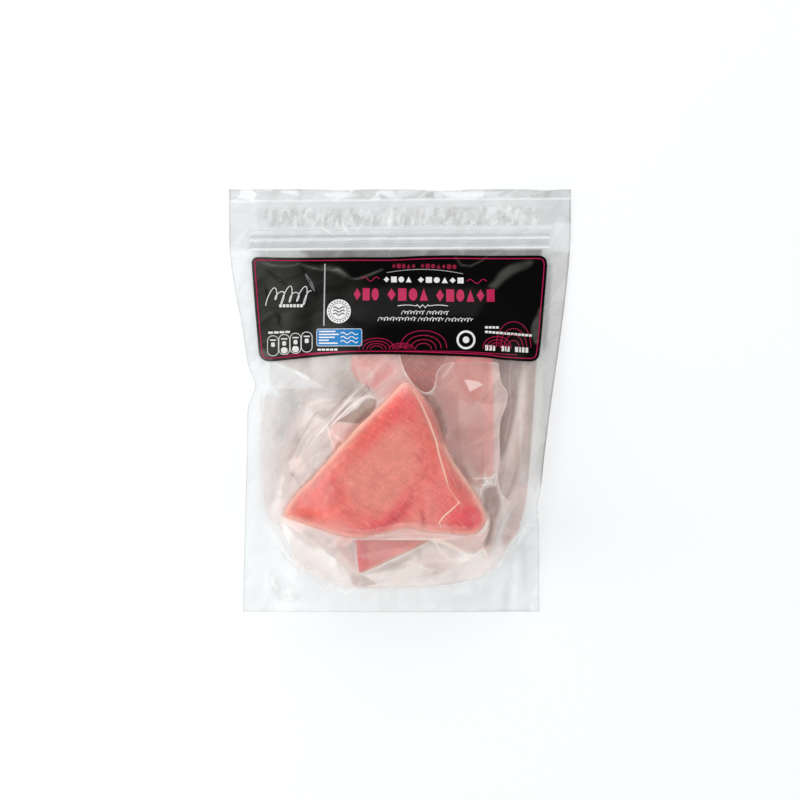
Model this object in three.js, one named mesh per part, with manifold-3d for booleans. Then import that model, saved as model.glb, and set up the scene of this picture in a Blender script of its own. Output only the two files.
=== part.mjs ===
// A clear resealable pouch of three raw tuna steaks, lying on its back with its front face up.
// Millimetres. X runs across the pouch, +Y up it towards the zip and +Z out of its front; the
// floor is z = 0. The pouch is one closed solid: the steaks inside lift its front, two side by
// side on the back film and one on top of them.
import * as THREE from "three";
import { mergeVertices } from "three/addons/utils/BufferGeometryUtils.js";
import Module from "manifold-3d";

// The pouch: a rectangle of film whose side edges are drawn in where the steaks lift it.
const POUCH_LENGTH = 253;
const POUCH_WIDTH = 204.8;
const FOOT = -POUCH_LENGTH / 2;
const HEAD = POUCH_LENGTH / 2;
const LEFT_DRAW = { from: 98, over: 84, depth: 10.9 };
const LEFT_FLARE = { from: -10, over: 116, depth: 2.5 };
const RIGHT_DRAW = { from: 98, over: 165, depth: 18.9 };
const LEFT_PINCH = { y: 9, reach: 8, depth: 5.2 };
const RIGHT_PINCH = { y: -64, reach: 7, depth: 1.6 };

// Film and seals
const SEAL_THICK = 1.0;
const SIDE_SEAL_WIDE = 12;
const SEAL_LIFT = { y: -30, reach: 62, high: 5.5 }; // the side seals ride up beside the steaks
const SIDE_SLOPE = { body: 22, head: 6, from: 30, over: 60 }; // width of the rise from seal to front
const BACK_CURVE_WIDE = 25; // the back leaves the floor this far in from the sides
const HEAD_THICK = 2.4; // two films with the zip between them
const HEAD_START = 76; // the steaks' slope fades into the flat head from here
const HEAD_FADE = 12;
const HEAD_CURL = { from: 108, high: 2.2 };

// Steaks
const STEAK_THICK = 17;
const LOWER_TOP = STEAK_THICK + 2; // film surface over the two lower steaks
const UPPER_TOP = 2 * STEAK_THICK + 3; // and over the one on top of them
const SHOULDER = 7; // the film starts down this far inside a steak's outline
const TIP_DROOP = { from: -30, over: 38, depth: 11 }; // the upper steak's left tip hangs down
const FLANK = { from: [12, 5], to: [34.5, -60], wide: 20, depth: 6 }; // its right side slopes off

// Bottom gusset: a U-shaped seal and the folded panel behind it
const GUSSET_CENTRE = -4;
const GUSSET_HALF_WIDE = 80;
const GUSSET_SEAL_LOW = -113;
const GUSSET_SEAL_RISE = 42;
const GUSSET_POWER = 3.6;
const GUSSET_LEAD = 4; // the skirt starts to rise this far below its seal
const GUSSET_FADE = 34;
const GUSSET_FOLD_LOW = -109;
const GUSSET_FOLD_RISE = 33;
const MOUTH_LIFT = 10.5;
const MOUTH_POWER = 2.4;
const SKIRT_WALL = 1.2;
const FOLD_CLEAR = 0.25;
const GUSSET_SPACE_SHARE = 0.82; // of the seal's half width
const GUSSET_OVERRUN = 4; // the cut for the mouth runs this far past the foot

// Label
const LABEL_TOP = 86;
const LABEL_BOTTOM = 24;
const LABEL_ARCH = 3.4; // its bottom edge rises this much where the film climbs the steaks
const LABEL_TOP_WIDTH = 177;
const LABEL_BOTTOM_WIDTH = 166.4;
const LABEL_CORNER = 4;
const LABEL_THICK = 0.3;
const GAP = 0.3; // clearance between touching pieces

// Zip
const ZIP_LENGTH = 184;
const ZIP_CENTRE_Y = 97.2;
const ZIP_WIDE = 13.4;
const ZIP_BASE = 0.7;
const ZIP_RIB_WIDE = 1.5;
const ZIP_RIB_HIGH = 0.8;
const ZIP_RIBS = [-4.6, -0.6, 1.9, 4.9]; // rib centres across the strip
const ZIP_POCKET = 1.3;

// Mesh density
const COLUMNS = 48;
const ROWS = 60;
const EDGE_COLUMNS = 6; // the back keeps all columns this near the sides
const BACK_STEP = 12; // and only every so many between them
const GUSSET_COLUMNS = 28;
const GUSSET_ROWS = 4;

// The three steaks, seen from the front. The film has come down to the floor at their reach.
const UPPER_STEAK = {
  outline: [
    [-68, -68], [-59, -52], [-42, -34], [-25, -16], [-6, 1], [3.6, 12], [13, 2], [21, -23],
    [41, -47], [51, -67], [44, -80], [2, -77], [-22, -82], [-47, -77],
  ],
  reach: 24,
};
const BACK_STEAK = {
  outline: [
    [-27, 44], [-30, 17], [-12, 1], [24, -42], [39, -52], [55, -47], [60, 0], [55, 30], [42, 46],
  ],
  reach: 36,
};
const LOW_STEAK = {
  outline: [[-43, -12], [-33, -9], [0, -24], [33, -60], [19, -86], [-26, -106], [-39, -72]],
  reach: 22,
};

// Folds that the steaks draw in the film: ridges that fade out to a share of their height
const FOLD_END = 0.12;
const FOLDS = [
  { from: [-84, 9], to: [-46, 8], high: 2.6, wide: 4 },
  { from: [-77, 23], to: [-46, 8], high: 2.2, wide: 4 },
  { from: [72, 18], to: [69, -48], high: 1.8, wide: 4.5 },
  { from: [69, -60], to: [58, -88], high: 1.8, wide: 4 },
  { from: [19, -84], to: [-4, -110], high: 1.6, wide: 4.5 },
  { from: [19, -84], to: [40, -108], high: 1.6, wide: 4.5 },
];

const clamp = (t) => Math.min(Math.max(t, 0), 1);
const ease = (t) => clamp(t) ** 2 * (3 - 2 * clamp(t));
const mix = (a, b, t) => a + (b - a) * t;
const bump = (t) => Math.exp(-t * t);

// The larger of two heights, rounded where they cross.
function blend(a, b, radius) {
  const t = clamp(0.5 + (a - b) / (2 * radius));
  return mix(b, a, t) + radius * t * (1 - t);
}

function distanceToSegment(x, y, [ax, ay], [bx, by]) {
  const dx = bx - ax;
  const dy = by - ay;
  const along = clamp(((x - ax) * dx + (y - ay) * dy) / (dx * dx + dy * dy));
  return { along, distance: Math.hypot(x - ax - along * dx, y - ay - along * dy) };
}

// Distance from an outline, negative inside it.
function distanceOutside(outline, x, y) {
  let nearest = Infinity;
  let inside = false;
  outline.forEach((end, i) => {
    const start = outline[(i + outline.length - 1) % outline.length];
    nearest = Math.min(nearest, distanceToSegment(x, y, start, end).distance);
    const crosses = start[1] > y !== end[1] > y;
    const crossing = start[0] + ((y - start[1]) * (end[0] - start[0])) / (end[1] - start[1]);
    if (crosses && x < crossing) inside = !inside;
  });
  return inside ? -nearest : nearest;
}

// The pouch's left and right edges at height y up the pouch.
function edgesAt(y) {
  const share = (draw) => clamp((draw.from - y) / draw.over);
  const pinch = (p) => p.depth * bump((y - p.y) / p.reach);
  const left = LEFT_DRAW.depth * ease(share(LEFT_DRAW)) - LEFT_FLARE.depth * ease(share(LEFT_FLARE));
  const right = (RIGHT_DRAW.depth * (share(RIGHT_DRAW) + ease(share(RIGHT_DRAW)))) / 2;
  return [-POUCH_WIDTH / 2 + left + pinch(LEFT_PINCH), POUCH_WIDTH / 2 - right - pinch(RIGHT_PINCH)];
}

function distanceFromSides(x, y) {
  const [left, right] = edgesAt(y);
  return Math.min(x - left, right - x);
}

// Height of the middle of the side seal: it lifts off the floor beside the steaks.
function sealHeight(y) {
  return SEAL_THICK / 2 + SEAL_LIFT.high * bump((y - SEAL_LIFT.y) / SEAL_LIFT.reach) + headCurl(y);
}

function headCurl(y) {
  return HEAD_CURL.high * ease((y - HEAD_CURL.from) / (HEAD - HEAD_CURL.from));
}

// Height of the film over one steak.
function liftOver(steak, top, x, y) {
  const outside = distanceOutside(steak.outline, x, y);
  return top * (1 - ease((outside + SHOULDER) / (SHOULDER + steak.reach)));
}

function upperSteakTop(x, y) {
  const [dx, dy] = [FLANK.to[0] - FLANK.from[0], FLANK.to[1] - FLANK.from[1]];
  const across = ((y - FLANK.from[1]) * dx - (x - FLANK.from[0]) * dy) / Math.hypot(dx, dy);
  const droop = TIP_DROOP.depth * ease((TIP_DROOP.from - x) / TIP_DROOP.over);
  return UPPER_TOP - droop - FLANK.depth * ease(across / FLANK.wide);
}

function steaksHeight(x, y) {
  const lower = blend(liftOver(BACK_STEAK, LOWER_TOP, x, y), liftOver(LOW_STEAK, LOWER_TOP, x, y), 4);
  return blend(lower, liftOver(UPPER_STEAK, upperSteakTop(x, y), x, y), 5);
}

function gussetCurve(low, rise, x) {
  const share = Math.min(Math.abs(x - GUSSET_CENTRE) / GUSSET_HALF_WIDE, 1.1);
  return low + rise * share ** GUSSET_POWER;
}

function mouthHeight(x, y) {
  const [left, right] = edgesAt(y);
  const share = clamp(Math.abs(2 * x - left - right) / (right - left));
  return SEAL_THICK + MOUTH_LIFT * (1 - share ** MOUTH_POWER);
}

function foldsHeight(x, y) {
  return FOLDS.reduce((sum, fold) => {
    const { along, distance } = distanceToSegment(x, y, fold.from, fold.to);
    const taper = Math.sin(Math.PI * mix(FOLD_END, 1 - FOLD_END, along));
    return sum + fold.high * bump(distance / fold.wide) * taper;
  }, 0);
}

// The front film: steaks and folds, the flat head above them and the skirt below the gusset
// seal, all running down to the side seals.
function frontHeight(x, y) {
  const sealTop = sealHeight(y) + SEAL_THICK / 2;
  const gussetSeal = gussetCurve(GUSSET_SEAL_LOW, GUSSET_SEAL_RISE, x) - GUSSET_LEAD;
  const bulge = steaksHeight(x, y) + foldsHeight(x, y);
  const body = mix(mouthHeight(x, y), bulge, ease((y - gussetSeal) / GUSSET_FADE));
  const head = HEAD_THICK + headCurl(y);
  const inner = mix(blend(body, head, HEAD_THICK), head, ease((y - HEAD_START) / HEAD_FADE));
  const slope = mix(SIDE_SLOPE.body, SIDE_SLOPE.head, ease((y - SIDE_SLOPE.from) / SIDE_SLOPE.over));
  return mix(sealTop, inner, ease((distanceFromSides(x, y) - SIDE_SEAL_WIDE) / slope));
}

// The back film: flat on the floor, curving up to the side seals and the curled head.
function backHeight(x, y) {
  const sealUnder = sealHeight(y) - SEAL_THICK / 2;
  return mix(sealUnder, headCurl(y), ease(distanceFromSides(x, y) / BACK_CURVE_WIDE));
}

// A closed solid between two surfaces over a patch. placeOf turns a share of the way across and
// a share of the way along into a place, and the lower surface may leave columns out.
function slab(columns, rows, placeOf, lowerOf, upperOf, leavesOut = () => false) {
  const positions = [];
  const faces = [];
  const layOut = (kept, surface) =>
    Array.from({ length: rows + 1 }, (_, row) =>
      kept.map((column) => {
        const [x, y] = placeOf(column / columns, row / rows);
        positions.push(x, y, surface(x, y));
        return positions.length / 3 - 1;
      }),
    );
  const all = Array.from({ length: columns + 1 }, (_, column) => column);
  const kept = all.filter((column) => !leavesOut(column));
  const upper = layOut(all, upperOf);
  const lower = layOut(kept, lowerOf);
  const tile = (grid, faceUp) => {
    for (let row = 0; row < rows; row += 1) {
      for (let i = 0; i + 1 < grid[row].length; i += 1) {
        const [a, b] = [grid[row][i], grid[row][i + 1]];
        const [c, d] = [grid[row + 1][i], grid[row + 1][i + 1]];
        if (faceUp) faces.push(a, b, d, a, d, c);
        else faces.push(a, d, b, a, c, d);
      }
    }
  };
  tile(upper, true);
  tile(lower, false);
  for (let row = 0; row < rows; row += 1) {
    const [a, b] = [lower[row].at(-1), lower[row + 1].at(-1)];
    const [c, d] = [upper[row].at(-1), upper[row + 1].at(-1)];
    faces.push(a, b, d, a, d, c);
    faces.push(lower[row][0], upper[row][0], upper[row + 1][0]);
    faces.push(lower[row][0], upper[row + 1][0], lower[row + 1][0]);
  }
  for (const [row, facing] of [[0, 1], [rows, -1]]) {
    for (let i = 0; i + 1 < kept.length; i += 1) {
      const fan = [[lower[row][i], lower[row][i + 1], upper[row][kept[i + 1]]]];
      for (let c = kept[i]; c < kept[i + 1]; c += 1) {
        fan.push([lower[row][i], upper[row][c + 1], upper[row][c]]);
      }
      for (const [p, q, r] of fan) faces.push(...(facing > 0 ? [p, q, r] : [p, r, q]));
    }
  }
  const geometry = new THREE.BufferGeometry();
  geometry.setAttribute("position", new THREE.Float32BufferAttribute(positions, 3));
  geometry.setIndex(faces);
  return geometry;
}

// A patch of the pouch between two heights, from edge to edge.
function pouchPatch(low, high) {
  return (across, along) => {
    const y = mix(low, high, along);
    const [left, right] = edgesAt(y);
    return [mix(left, right, across), y];
  };
}

const wasm = await Module();
wasm.setup();

function solidOf(geometry) {
  const bare = geometry.clone();
  bare.deleteAttribute("normal");
  bare.deleteAttribute("uv");
  const merged = mergeVertices(bare, 1e-4);
  return new wasm.Manifold(
    new wasm.Mesh({
      numProp: 3,
      vertProperties: merged.attributes.position.array,
      triVerts: new Uint32Array(merged.index.array),
    }),
  );
}

function geometryOf(solid) {
  const { vertProperties, triVerts } = solid.getMesh();
  const geometry = new THREE.BufferGeometry();
  geometry.setAttribute("position", new THREE.BufferAttribute(vertProperties, 3));
  geometry.setIndex(new THREE.BufferAttribute(triVerts, 1));
  geometry.computeVertexNormals();
  return geometry;
}

// The open fold of the gusset: a wedge between the front and back skirts, deepest in the middle.
function gussetSpace() {
  const halfWide = GUSSET_SPACE_SHARE * GUSSET_HALF_WIDE;
  const foldAt = (x) => gussetCurve(GUSSET_FOLD_LOW, GUSSET_FOLD_RISE, x);
  const placeOf = (across, along) => {
    const x = GUSSET_CENTRE + mix(-halfWide, halfWide, across);
    return [x, mix(FOOT - GUSSET_OVERRUN, foldAt(x), along)];
  };
  const wallAt = (x, y, side) => {
    const inY = Math.max(y, FOOT);
    const front = frontHeight(x, inY) - SKIRT_WALL;
    const back = backHeight(x, inY) + SKIRT_WALL;
    const opening = Math.sqrt(clamp((foldAt(x) - y) / (foldAt(x) - FOOT)));
    return (front + back) / 2 + side * Math.max((opening * (front - back)) / 2, FOLD_CLEAR);
  };
  const lower = (x, y) => wallAt(x, y, -1);
  const upper = (x, y) => wallAt(x, y, 1);
  return slab(GUSSET_COLUMNS, GUSSET_ROWS, placeOf, lower, upper);
}

function pouch() {
  const skipped = (column) => Math.min(column, COLUMNS - column) > EDGE_COLUMNS && column % BACK_STEP > 0;
  const whole = slab(COLUMNS, ROWS, pouchPatch(FOOT, HEAD), backHeight, frontHeight, skipped);
  const pocket = new THREE.BoxGeometry(ZIP_LENGTH + 2 * GAP, ZIP_WIDE + 2 * GAP, 2 * ZIP_POCKET);
  pocket.translate(0, ZIP_CENTRE_Y, HEAD_THICK);
  return geometryOf(solidOf(whole).subtract(solidOf(gussetSpace())).subtract(solidOf(pocket)));
}

// The zip: two interlocking tracks on a thin strip, drawn as its cross-section and run across.
function zip() {
  const section = new THREE.Shape();
  const edge = ZIP_WIDE / 2;
  section.moveTo(-edge, 0);
  section.lineTo(edge, 0);
  section.lineTo(edge, ZIP_BASE);
  for (const centre of [...ZIP_RIBS].reverse()) {
    section.lineTo(centre + ZIP_RIB_WIDE / 2, ZIP_BASE);
    section.absarc(centre, ZIP_BASE + ZIP_RIB_HIGH - ZIP_RIB_WIDE / 2, ZIP_RIB_WIDE / 2, 0, Math.PI);
    section.lineTo(centre - ZIP_RIB_WIDE / 2, ZIP_BASE);
  }
  section.lineTo(-edge, ZIP_BASE);
  const run = { depth: ZIP_LENGTH, bevelEnabled: false, curveSegments: 6 };
  const strip = new THREE.ExtrudeGeometry(section, run);
  strip.rotateX(Math.PI / 2).rotateZ(Math.PI / 2).translate(-ZIP_LENGTH / 2, 0, 0);
  return strip;
}

// The label: a thin skin over the front film, cut to a rounded panel with an arched lower edge.
function label() {
  const top = LABEL_TOP_WIDTH / 2;
  const bottom = LABEL_BOTTOM_WIDTH / 2;
  const round = LABEL_CORNER;
  const panel = new THREE.Shape();
  panel.moveTo(-bottom + round, LABEL_BOTTOM);
  panel.quadraticCurveTo(0, LABEL_BOTTOM + 2 * LABEL_ARCH, bottom - round, LABEL_BOTTOM);
  panel.quadraticCurveTo(bottom, LABEL_BOTTOM, bottom, LABEL_BOTTOM + round);
  panel.lineTo(top, LABEL_TOP - round);
  panel.quadraticCurveTo(top, LABEL_TOP, top - round, LABEL_TOP);
  panel.lineTo(-top + round, LABEL_TOP);
  panel.quadraticCurveTo(-top, LABEL_TOP, -top, LABEL_TOP - round);
  panel.lineTo(-bottom, LABEL_BOTTOM + round);
  panel.quadraticCurveTo(-bottom, LABEL_BOTTOM, -bottom + round, LABEL_BOTTOM);
  const run = { depth: 2 * UPPER_TOP, bevelEnabled: false, curveSegments: 8 };
  const cutter = new THREE.ExtrudeGeometry(panel, run);
  const step = POUCH_LENGTH / ROWS;
  const low = FOOT + step * Math.floor((LABEL_BOTTOM - FOOT) / step);
  const high = FOOT + step * Math.ceil((LABEL_TOP - FOOT) / step);
  const under = (x, y) => frontHeight(x, y) + GAP;
  const over = (x, y) => under(x, y) + LABEL_THICK;
  const skin = slab(COLUMNS, Math.round((high - low) / step), pouchPatch(low, high), under, over);
  return geometryOf(solidOf(skin).intersect(solidOf(cutter)));
}

function piece(name, geometry, color, roughness) {
  const finish = { color, roughness, metalness: 0, flatShading: true };
  const material = new THREE.MeshStandardMaterial(finish);
  const mesh = new THREE.Mesh(geometry, material);
  mesh.name = name;
  return mesh;
}

const pack = new THREE.Group();
pack.add(piece("pouch", pouch(), 0xdcc4be, 0.25));
pack.add(piece("label", label(), 0x14110f, 0.3));
const strip = piece("zip", zip(), 0xc9cccb, 0.35);
strip.position.set(0, ZIP_CENTRE_Y, HEAD_THICK - ZIP_POCKET + GAP);
pack.add(strip);

export default pack;
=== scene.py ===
# A resealable clear pouch of three raw tuna steaks, each in its own vacuum wrap, lying on its
# back with the front up. Lengths are in metres, and the points of outlines and creases are in
# millimetres.
import math

import bpy
import numpy as np
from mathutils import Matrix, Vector
from mathutils.bvhtree import BVHTree
from mathutils.geometry import delaunay_2d_cdt


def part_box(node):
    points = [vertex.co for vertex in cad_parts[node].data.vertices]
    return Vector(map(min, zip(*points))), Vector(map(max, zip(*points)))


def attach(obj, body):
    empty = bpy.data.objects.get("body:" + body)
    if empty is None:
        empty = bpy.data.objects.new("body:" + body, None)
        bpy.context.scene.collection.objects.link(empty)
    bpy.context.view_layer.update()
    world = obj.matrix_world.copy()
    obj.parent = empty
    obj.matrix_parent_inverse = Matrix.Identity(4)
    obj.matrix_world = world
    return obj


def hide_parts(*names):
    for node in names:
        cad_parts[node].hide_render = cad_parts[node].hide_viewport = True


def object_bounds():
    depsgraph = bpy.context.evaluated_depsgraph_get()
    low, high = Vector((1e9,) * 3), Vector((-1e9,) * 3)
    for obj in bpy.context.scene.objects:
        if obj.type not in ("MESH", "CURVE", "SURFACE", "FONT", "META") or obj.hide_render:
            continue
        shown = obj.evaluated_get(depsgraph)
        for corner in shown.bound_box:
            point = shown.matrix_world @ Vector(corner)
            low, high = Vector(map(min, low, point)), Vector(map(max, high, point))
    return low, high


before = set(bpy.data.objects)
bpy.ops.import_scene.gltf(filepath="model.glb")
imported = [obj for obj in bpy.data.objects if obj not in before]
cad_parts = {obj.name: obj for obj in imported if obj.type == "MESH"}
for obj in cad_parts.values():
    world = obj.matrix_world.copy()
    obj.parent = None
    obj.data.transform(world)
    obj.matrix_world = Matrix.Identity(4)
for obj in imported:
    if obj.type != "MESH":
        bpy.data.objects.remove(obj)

cad_low, cad_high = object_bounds()


# The table, the light and the camera. A pale matt table between large soft lamps that stand
# clear of the camera's mirror line, so that flat film stays clear and only its creases glint.
CAMERA_HEIGHT = 3.6
VIEW_WIDE = 0.48
SENSOR_WIDE = 36.0
TABLE_WIDE = 8.0
TABLE_LEVEL = -0.0004

bpy.ops.object.select_all(action="DESELECT")
bpy.ops.object.camera_add(location=(0, 0.0003, CAMERA_HEIGHT), rotation=(0, 0, 0))
camera = bpy.context.object
camera.data.sensor_width = SENSOR_WIDE
camera.data.lens = SENSOR_WIDE * CAMERA_HEIGHT / VIEW_WIDE
camera.data.clip_end = 50
bpy.context.scene.camera = camera


def softbox(name, place, size, power):
    """A rectangular lamp at a place, turned to the pack."""
    bpy.ops.object.light_add(type="AREA", location=place)
    lamp = bpy.context.object
    lamp.name = name
    lamp.data.shape = "RECTANGLE"
    lamp.data.size, lamp.data.size_y = size
    lamp.data.energy = power
    lamp.rotation_euler = (-Vector(place)).to_track_quat("-Z", "Y").to_euler()


softbox("left_box", (-1.75, 0.3, 0.9), (1.1, 1.8), 26)
softbox("right_box", (1.8, -0.2, 0.85), (0.9, 1.7), 10)
softbox("head_box", (0.1, 1.85, 0.9), (1.8, 0.9), 15)
softbox("foot_box", (0.0, -1.9, 0.85), (1.6, 0.6), 10)

room = bpy.data.worlds.new("studio")
room.use_nodes = True
bpy.context.scene.world = room
walls = room.node_tree.nodes["Background"]
walls.inputs["Color"].default_value = (0.96, 0.98, 1.0, 1)
walls.inputs["Strength"].default_value = 0.46
bpy.context.scene.view_settings.view_transform = "Standard"
bpy.context.scene.cycles.transparent_max_bounces = 40


def paint(red, green, blue):
    """A colour from its 0 to 255 values on a screen."""
    shares = [c / 255 for c in (red, green, blue)]
    return tuple(((c + 0.055) / 1.055) ** 2.4 if c > 0.04 else c / 12.92 for c in shares) + (1.0,)


def plug(tree, kind, **sockets):
    """A shader node with its inputs set, or linked where the value is another node's output."""
    step = tree.nodes.new(kind)
    for name, value in sockets.items():
        socket = step.inputs[int(name[1:]) if name[1:].isdigit() else name.replace("_", " ")]
        if isinstance(value, bpy.types.NodeSocket):
            tree.links.new(value, socket)
        else:
            socket.default_value = value
    return step


def blend_colour(tree, share, under, over, mode="MIX"):
    """Two colours mixed by a share, or blended in another way."""
    step = tree.nodes.new("ShaderNodeMix")
    step.data_type = "RGBA"
    step.blend_type = mode
    for socket, value in ((step.inputs[0], share), (step.inputs[6], under), (step.inputs[7], over)):
        if isinstance(value, bpy.types.NodeSocket):
            tree.links.new(value, socket)
        else:
            socket.default_value = value
    return step.outputs[2]


def material_of(name, roughness, specular=0.5):
    """A new material, with its node tree and its main shader."""
    made = bpy.data.materials.new(name)
    made.use_nodes = True
    main = made.node_tree.nodes["Principled BSDF"]
    main.inputs["Roughness"].default_value = roughness
    main.inputs["Specular IOR Level"].default_value = specular
    return made, made.node_tree, main


bpy.ops.mesh.primitive_plane_add(size=TABLE_WIDE, location=(0, 0, TABLE_LEVEL))
table = bpy.context.object
table.name = "table"
table_paint, tree, top = material_of("pale_table", 0.95, 0.1)
cloudy = plug(tree, "ShaderNodeTexNoise", Scale=0.8, Detail=1.0).outputs["Fac"]
pale = blend_colour(tree, cloudy, (0.885, 0.895, 0.90, 1), (0.895, 0.90, 0.905, 1))
tree.links.new(pale, top.inputs["Base Color"])
top.inputs["Emission Color"].default_value = (1, 1, 1, 1)
top.inputs["Emission Strength"].default_value = 0.1
table.data.materials.append(table_paint)


# The three tuna steaks. Each is a skinless slice of raw loin cut straight across the grain,
# about 17 mm thick, so fibres and darker blood lines show on its faces. Each starts as an
# outline that is drawn up into a slab and remeshed.
STEAK_THICK = 0.0166
LOW_BOTTOM = 0.0012
UPPER_BOTTOM = 0.0186
SHOULDER = 0.0036
VOXEL = 0.0009
TIP_FROM, TIP_RUN, TIP_DROP = -0.030, 0.038, 0.011  # how the upper steak's left tip hangs
FLANK_CREST = [(12.5, 0), (34, -60)]  # right of this line its side slopes off
FLANK_DROP = 0.006
OUTLINE_STEP = 0.002  # between the points of a smoothed outline

UPPER_OUTLINE = [
    (-69.2, -68), (-66.7, -61.8), (-61, -54.4), (-52.8, -46.4), (-44.2, -36.7), (-34.4, -26),
    (-25, -16), (-15.5, -6.4), (-6.3, 2), (0, 8.9), (4, 11.4), (9.2, 7.8), (14.2, 1.6),
    (18.4, -4), (21.8, -10), (24.4, -16.4), (26.2, -22.4), (29, -30.2), (33.4, -38.4), (39, -46.6),
    (43.8, -53.6), (48.2, -61.4), (51.5, -68.4), (50.5, -74), (45.9, -79), (37.5, -80.2), (29.1, -79.2),
    (20.7, -78.6), (12.2, -77.1), (2.2, -76.1), (-6, -78.2), (-14, -79.9), (-24.8, -81.6),
    (-34.2, -80.9), (-46.8, -77.1), (-59.5, -72.8), (-66.1, -70.6),
]
BACK_OUTLINE = [
    (-27.5, 44), (-28.5, 30), (-28.7, 17.1), (-20.3, 7.5), (-11.9, 1.5), (7.3, -21.3),
    (24.1, -41.7), (33.1, -48.9), (40.9, -51.9), (49.3, -50.1), (54.7, -44.1), (56.5, -23.7),
    (56, 0.3), (56, 24), (52, 42), (42, 46), (0, 46), (-20, 46),
]
LOW_OUTLINE = [
    (-42.5, -14.1), (-38.3, -10.5), (-32.3, -9.3), (-16.7, -16.5), (0.1, -23.7), (16, -40.5),
    (30, -60), (27, -72), (19.5, -82.6), (12.2, -86.6), (-0.4, -93), (-13, -99), (-22.4, -103),
    (-24.6, -102.4), (-25.6, -95.7), (-26.9, -84.3), (-32.3, -59.7), (-38.3, -35.7),
]


def ease(share):
    """A smooth step from 0 to 1."""
    share = np.clip(share, 0, 1)
    return share * share * (3 - 2 * share)


def hump(away, wide):
    """1 at 0, fading to nothing within about two widths on both sides."""
    return np.exp(-((away / wide) ** 2))


def smooth_loop(points, spacing=OUTLINE_STEP):
    """A smooth closed curve through points, as evenly spaced points in metres."""
    knots = np.array(points, float) / 1000
    before, after, beyond = (np.roll(knots, n, 0)[:, None] for n in (1, -1, -2))
    here = knots[:, None]
    t = np.linspace(0, 1, 12, endpoint=False)[None, :, None]
    curve = 0.5 * (
        2 * here
        + (after - before) * t
        + (2 * before - 5 * here + 4 * after - beyond) * t**2
        + (3 * here - before - 3 * after + beyond) * t**3
    )
    curve = curve.reshape(-1, 2)
    closed = np.vstack([curve, curve[:1]])
    run = np.concatenate([[0], np.cumsum(np.hypot(*np.diff(closed, axis=0).T))])
    stops = np.linspace(0, run[-1], int(run[-1] / spacing), endpoint=False)
    return np.column_stack([np.interp(stops, run, closed[:, axis]) for axis in (0, 1)])


def gap_outside(x, y, loop):
    """Distance outside a closed loop of points, negative inside."""
    nearest = np.full(x.shape, 1e9)
    within = np.zeros(x.shape, bool)
    for (ax, ay), (bx, by) in zip(loop, np.roll(loop, -1, 0)):
        run_x, run_y = bx - ax, by - ay
        share = np.clip(((x - ax) * run_x + (y - ay) * run_y) / (run_x**2 + run_y**2 + 1e-18), 0, 1)
        nearest = np.minimum(nearest, (x - ax - share * run_x) ** 2 + (y - ay - share * run_y) ** 2)
        if abs(run_y) > 1e-12:
            crosses = ((ay > y) != (by > y)) & (x < ax + (y - ay) * run_x / run_y)
            within ^= crosses
    return np.where(within, -1, 1) * np.sqrt(nearest)


def streak(x, y, points, wide, taper=0.5, sharp=2.0):
    """1 along a run of points and 0 away from it: wide millimetres across, thinning towards both
    ends, and with a crisp crest where sharp is 1."""
    path = np.array(points, float) / 1000
    steps = np.hypot(*np.diff(path, axis=0).T)
    nearest = np.full(x.shape, 1e9)
    place = np.zeros(x.shape)
    walked = 0.0
    for (ax, ay), (bx, by), step in zip(path[:-1], path[1:], steps):
        share = np.clip(((x - ax) * (bx - ax) + (y - ay) * (by - ay)) / step**2, 0, 1)
        away = np.hypot(x - ax - share * (bx - ax), y - ay - share * (by - ay))
        closer = away < nearest
        place = np.where(closer, (walked + share * step) / steps.sum(), place)
        nearest = np.where(closer, away, nearest)
        walked += step
    thin = np.sin(np.pi * np.clip(0.05 + 0.9 * place, 0, 1)) ** taper
    return thin * np.exp(-((nearest / (wide / 1000)) ** sharp))


def patch(x, y, points, soft):
    """1 inside an outline and 0 outside, over a soft edge in millimetres. A crisp outline keeps
    its straight sides, and a softer one is rounded."""
    loop = smooth_loop(points) if soft > 1.5 else np.array(points) / 1000
    reach = soft / 1000
    near = (x > loop[:, 0].min() - reach) & (x < loop[:, 0].max() + reach)
    near &= (y > loop[:, 1].min() - reach) & (y < loop[:, 1].max() + reach)
    share = np.zeros(x.shape)
    share[near] = 1 - ease(gap_outside(x[near], y[near], loop) / reach + 0.5)
    return share


def store(piece, masks):
    """Keeps masks from 0 to 1 on a piece's points, for its material to read."""
    for mask, values in masks.items():
        layer = piece.data.attributes.new(mask, "FLOAT", "POINT")
        layer.data.foreach_set("value", np.clip(values, 0, 1).ravel().astype(np.float32))


FIELD_STEP = 0.0008
FIELD_MARGIN = 0.0024
FILM_ROOM = 0.0009  # what the wraps and the pouch film take up over a steak
UNDER_FILM = 0.0006
ZIP_MARGIN = 0.0015

field_x, field_y = np.meshgrid(
    np.arange(cad_low[0] - FIELD_MARGIN, cad_high[0] + FIELD_MARGIN, FIELD_STEP),
    np.arange(cad_low[1] - FIELD_MARGIN, cad_high[1] + FIELD_MARGIN, FIELD_STEP),
)
zip_low, zip_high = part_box("zip")
pouch_low, pouch_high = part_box("pouch")


def tree_of(mesh):
    """A mesh made ready to be met by lines."""
    return BVHTree.FromPolygons([v.co for v in mesh.vertices], [f.vertices for f in mesh.polygons])


def height_on(tree, x, y, missing, down=True):
    """The height where a line straight down (or up) at each place meets a mesh."""
    heights = np.full(x.shape, missing)
    aim = Vector((0, 0, -1 if down else 1))
    start = 0.2 if down else -0.2
    for spot in np.ndindex(x.shape):
        hit = tree.ray_cast(Vector((x[spot], y[spot], start)), aim)[0]
        if hit is not None:
            heights[spot] = hit.z
    return heights


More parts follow.
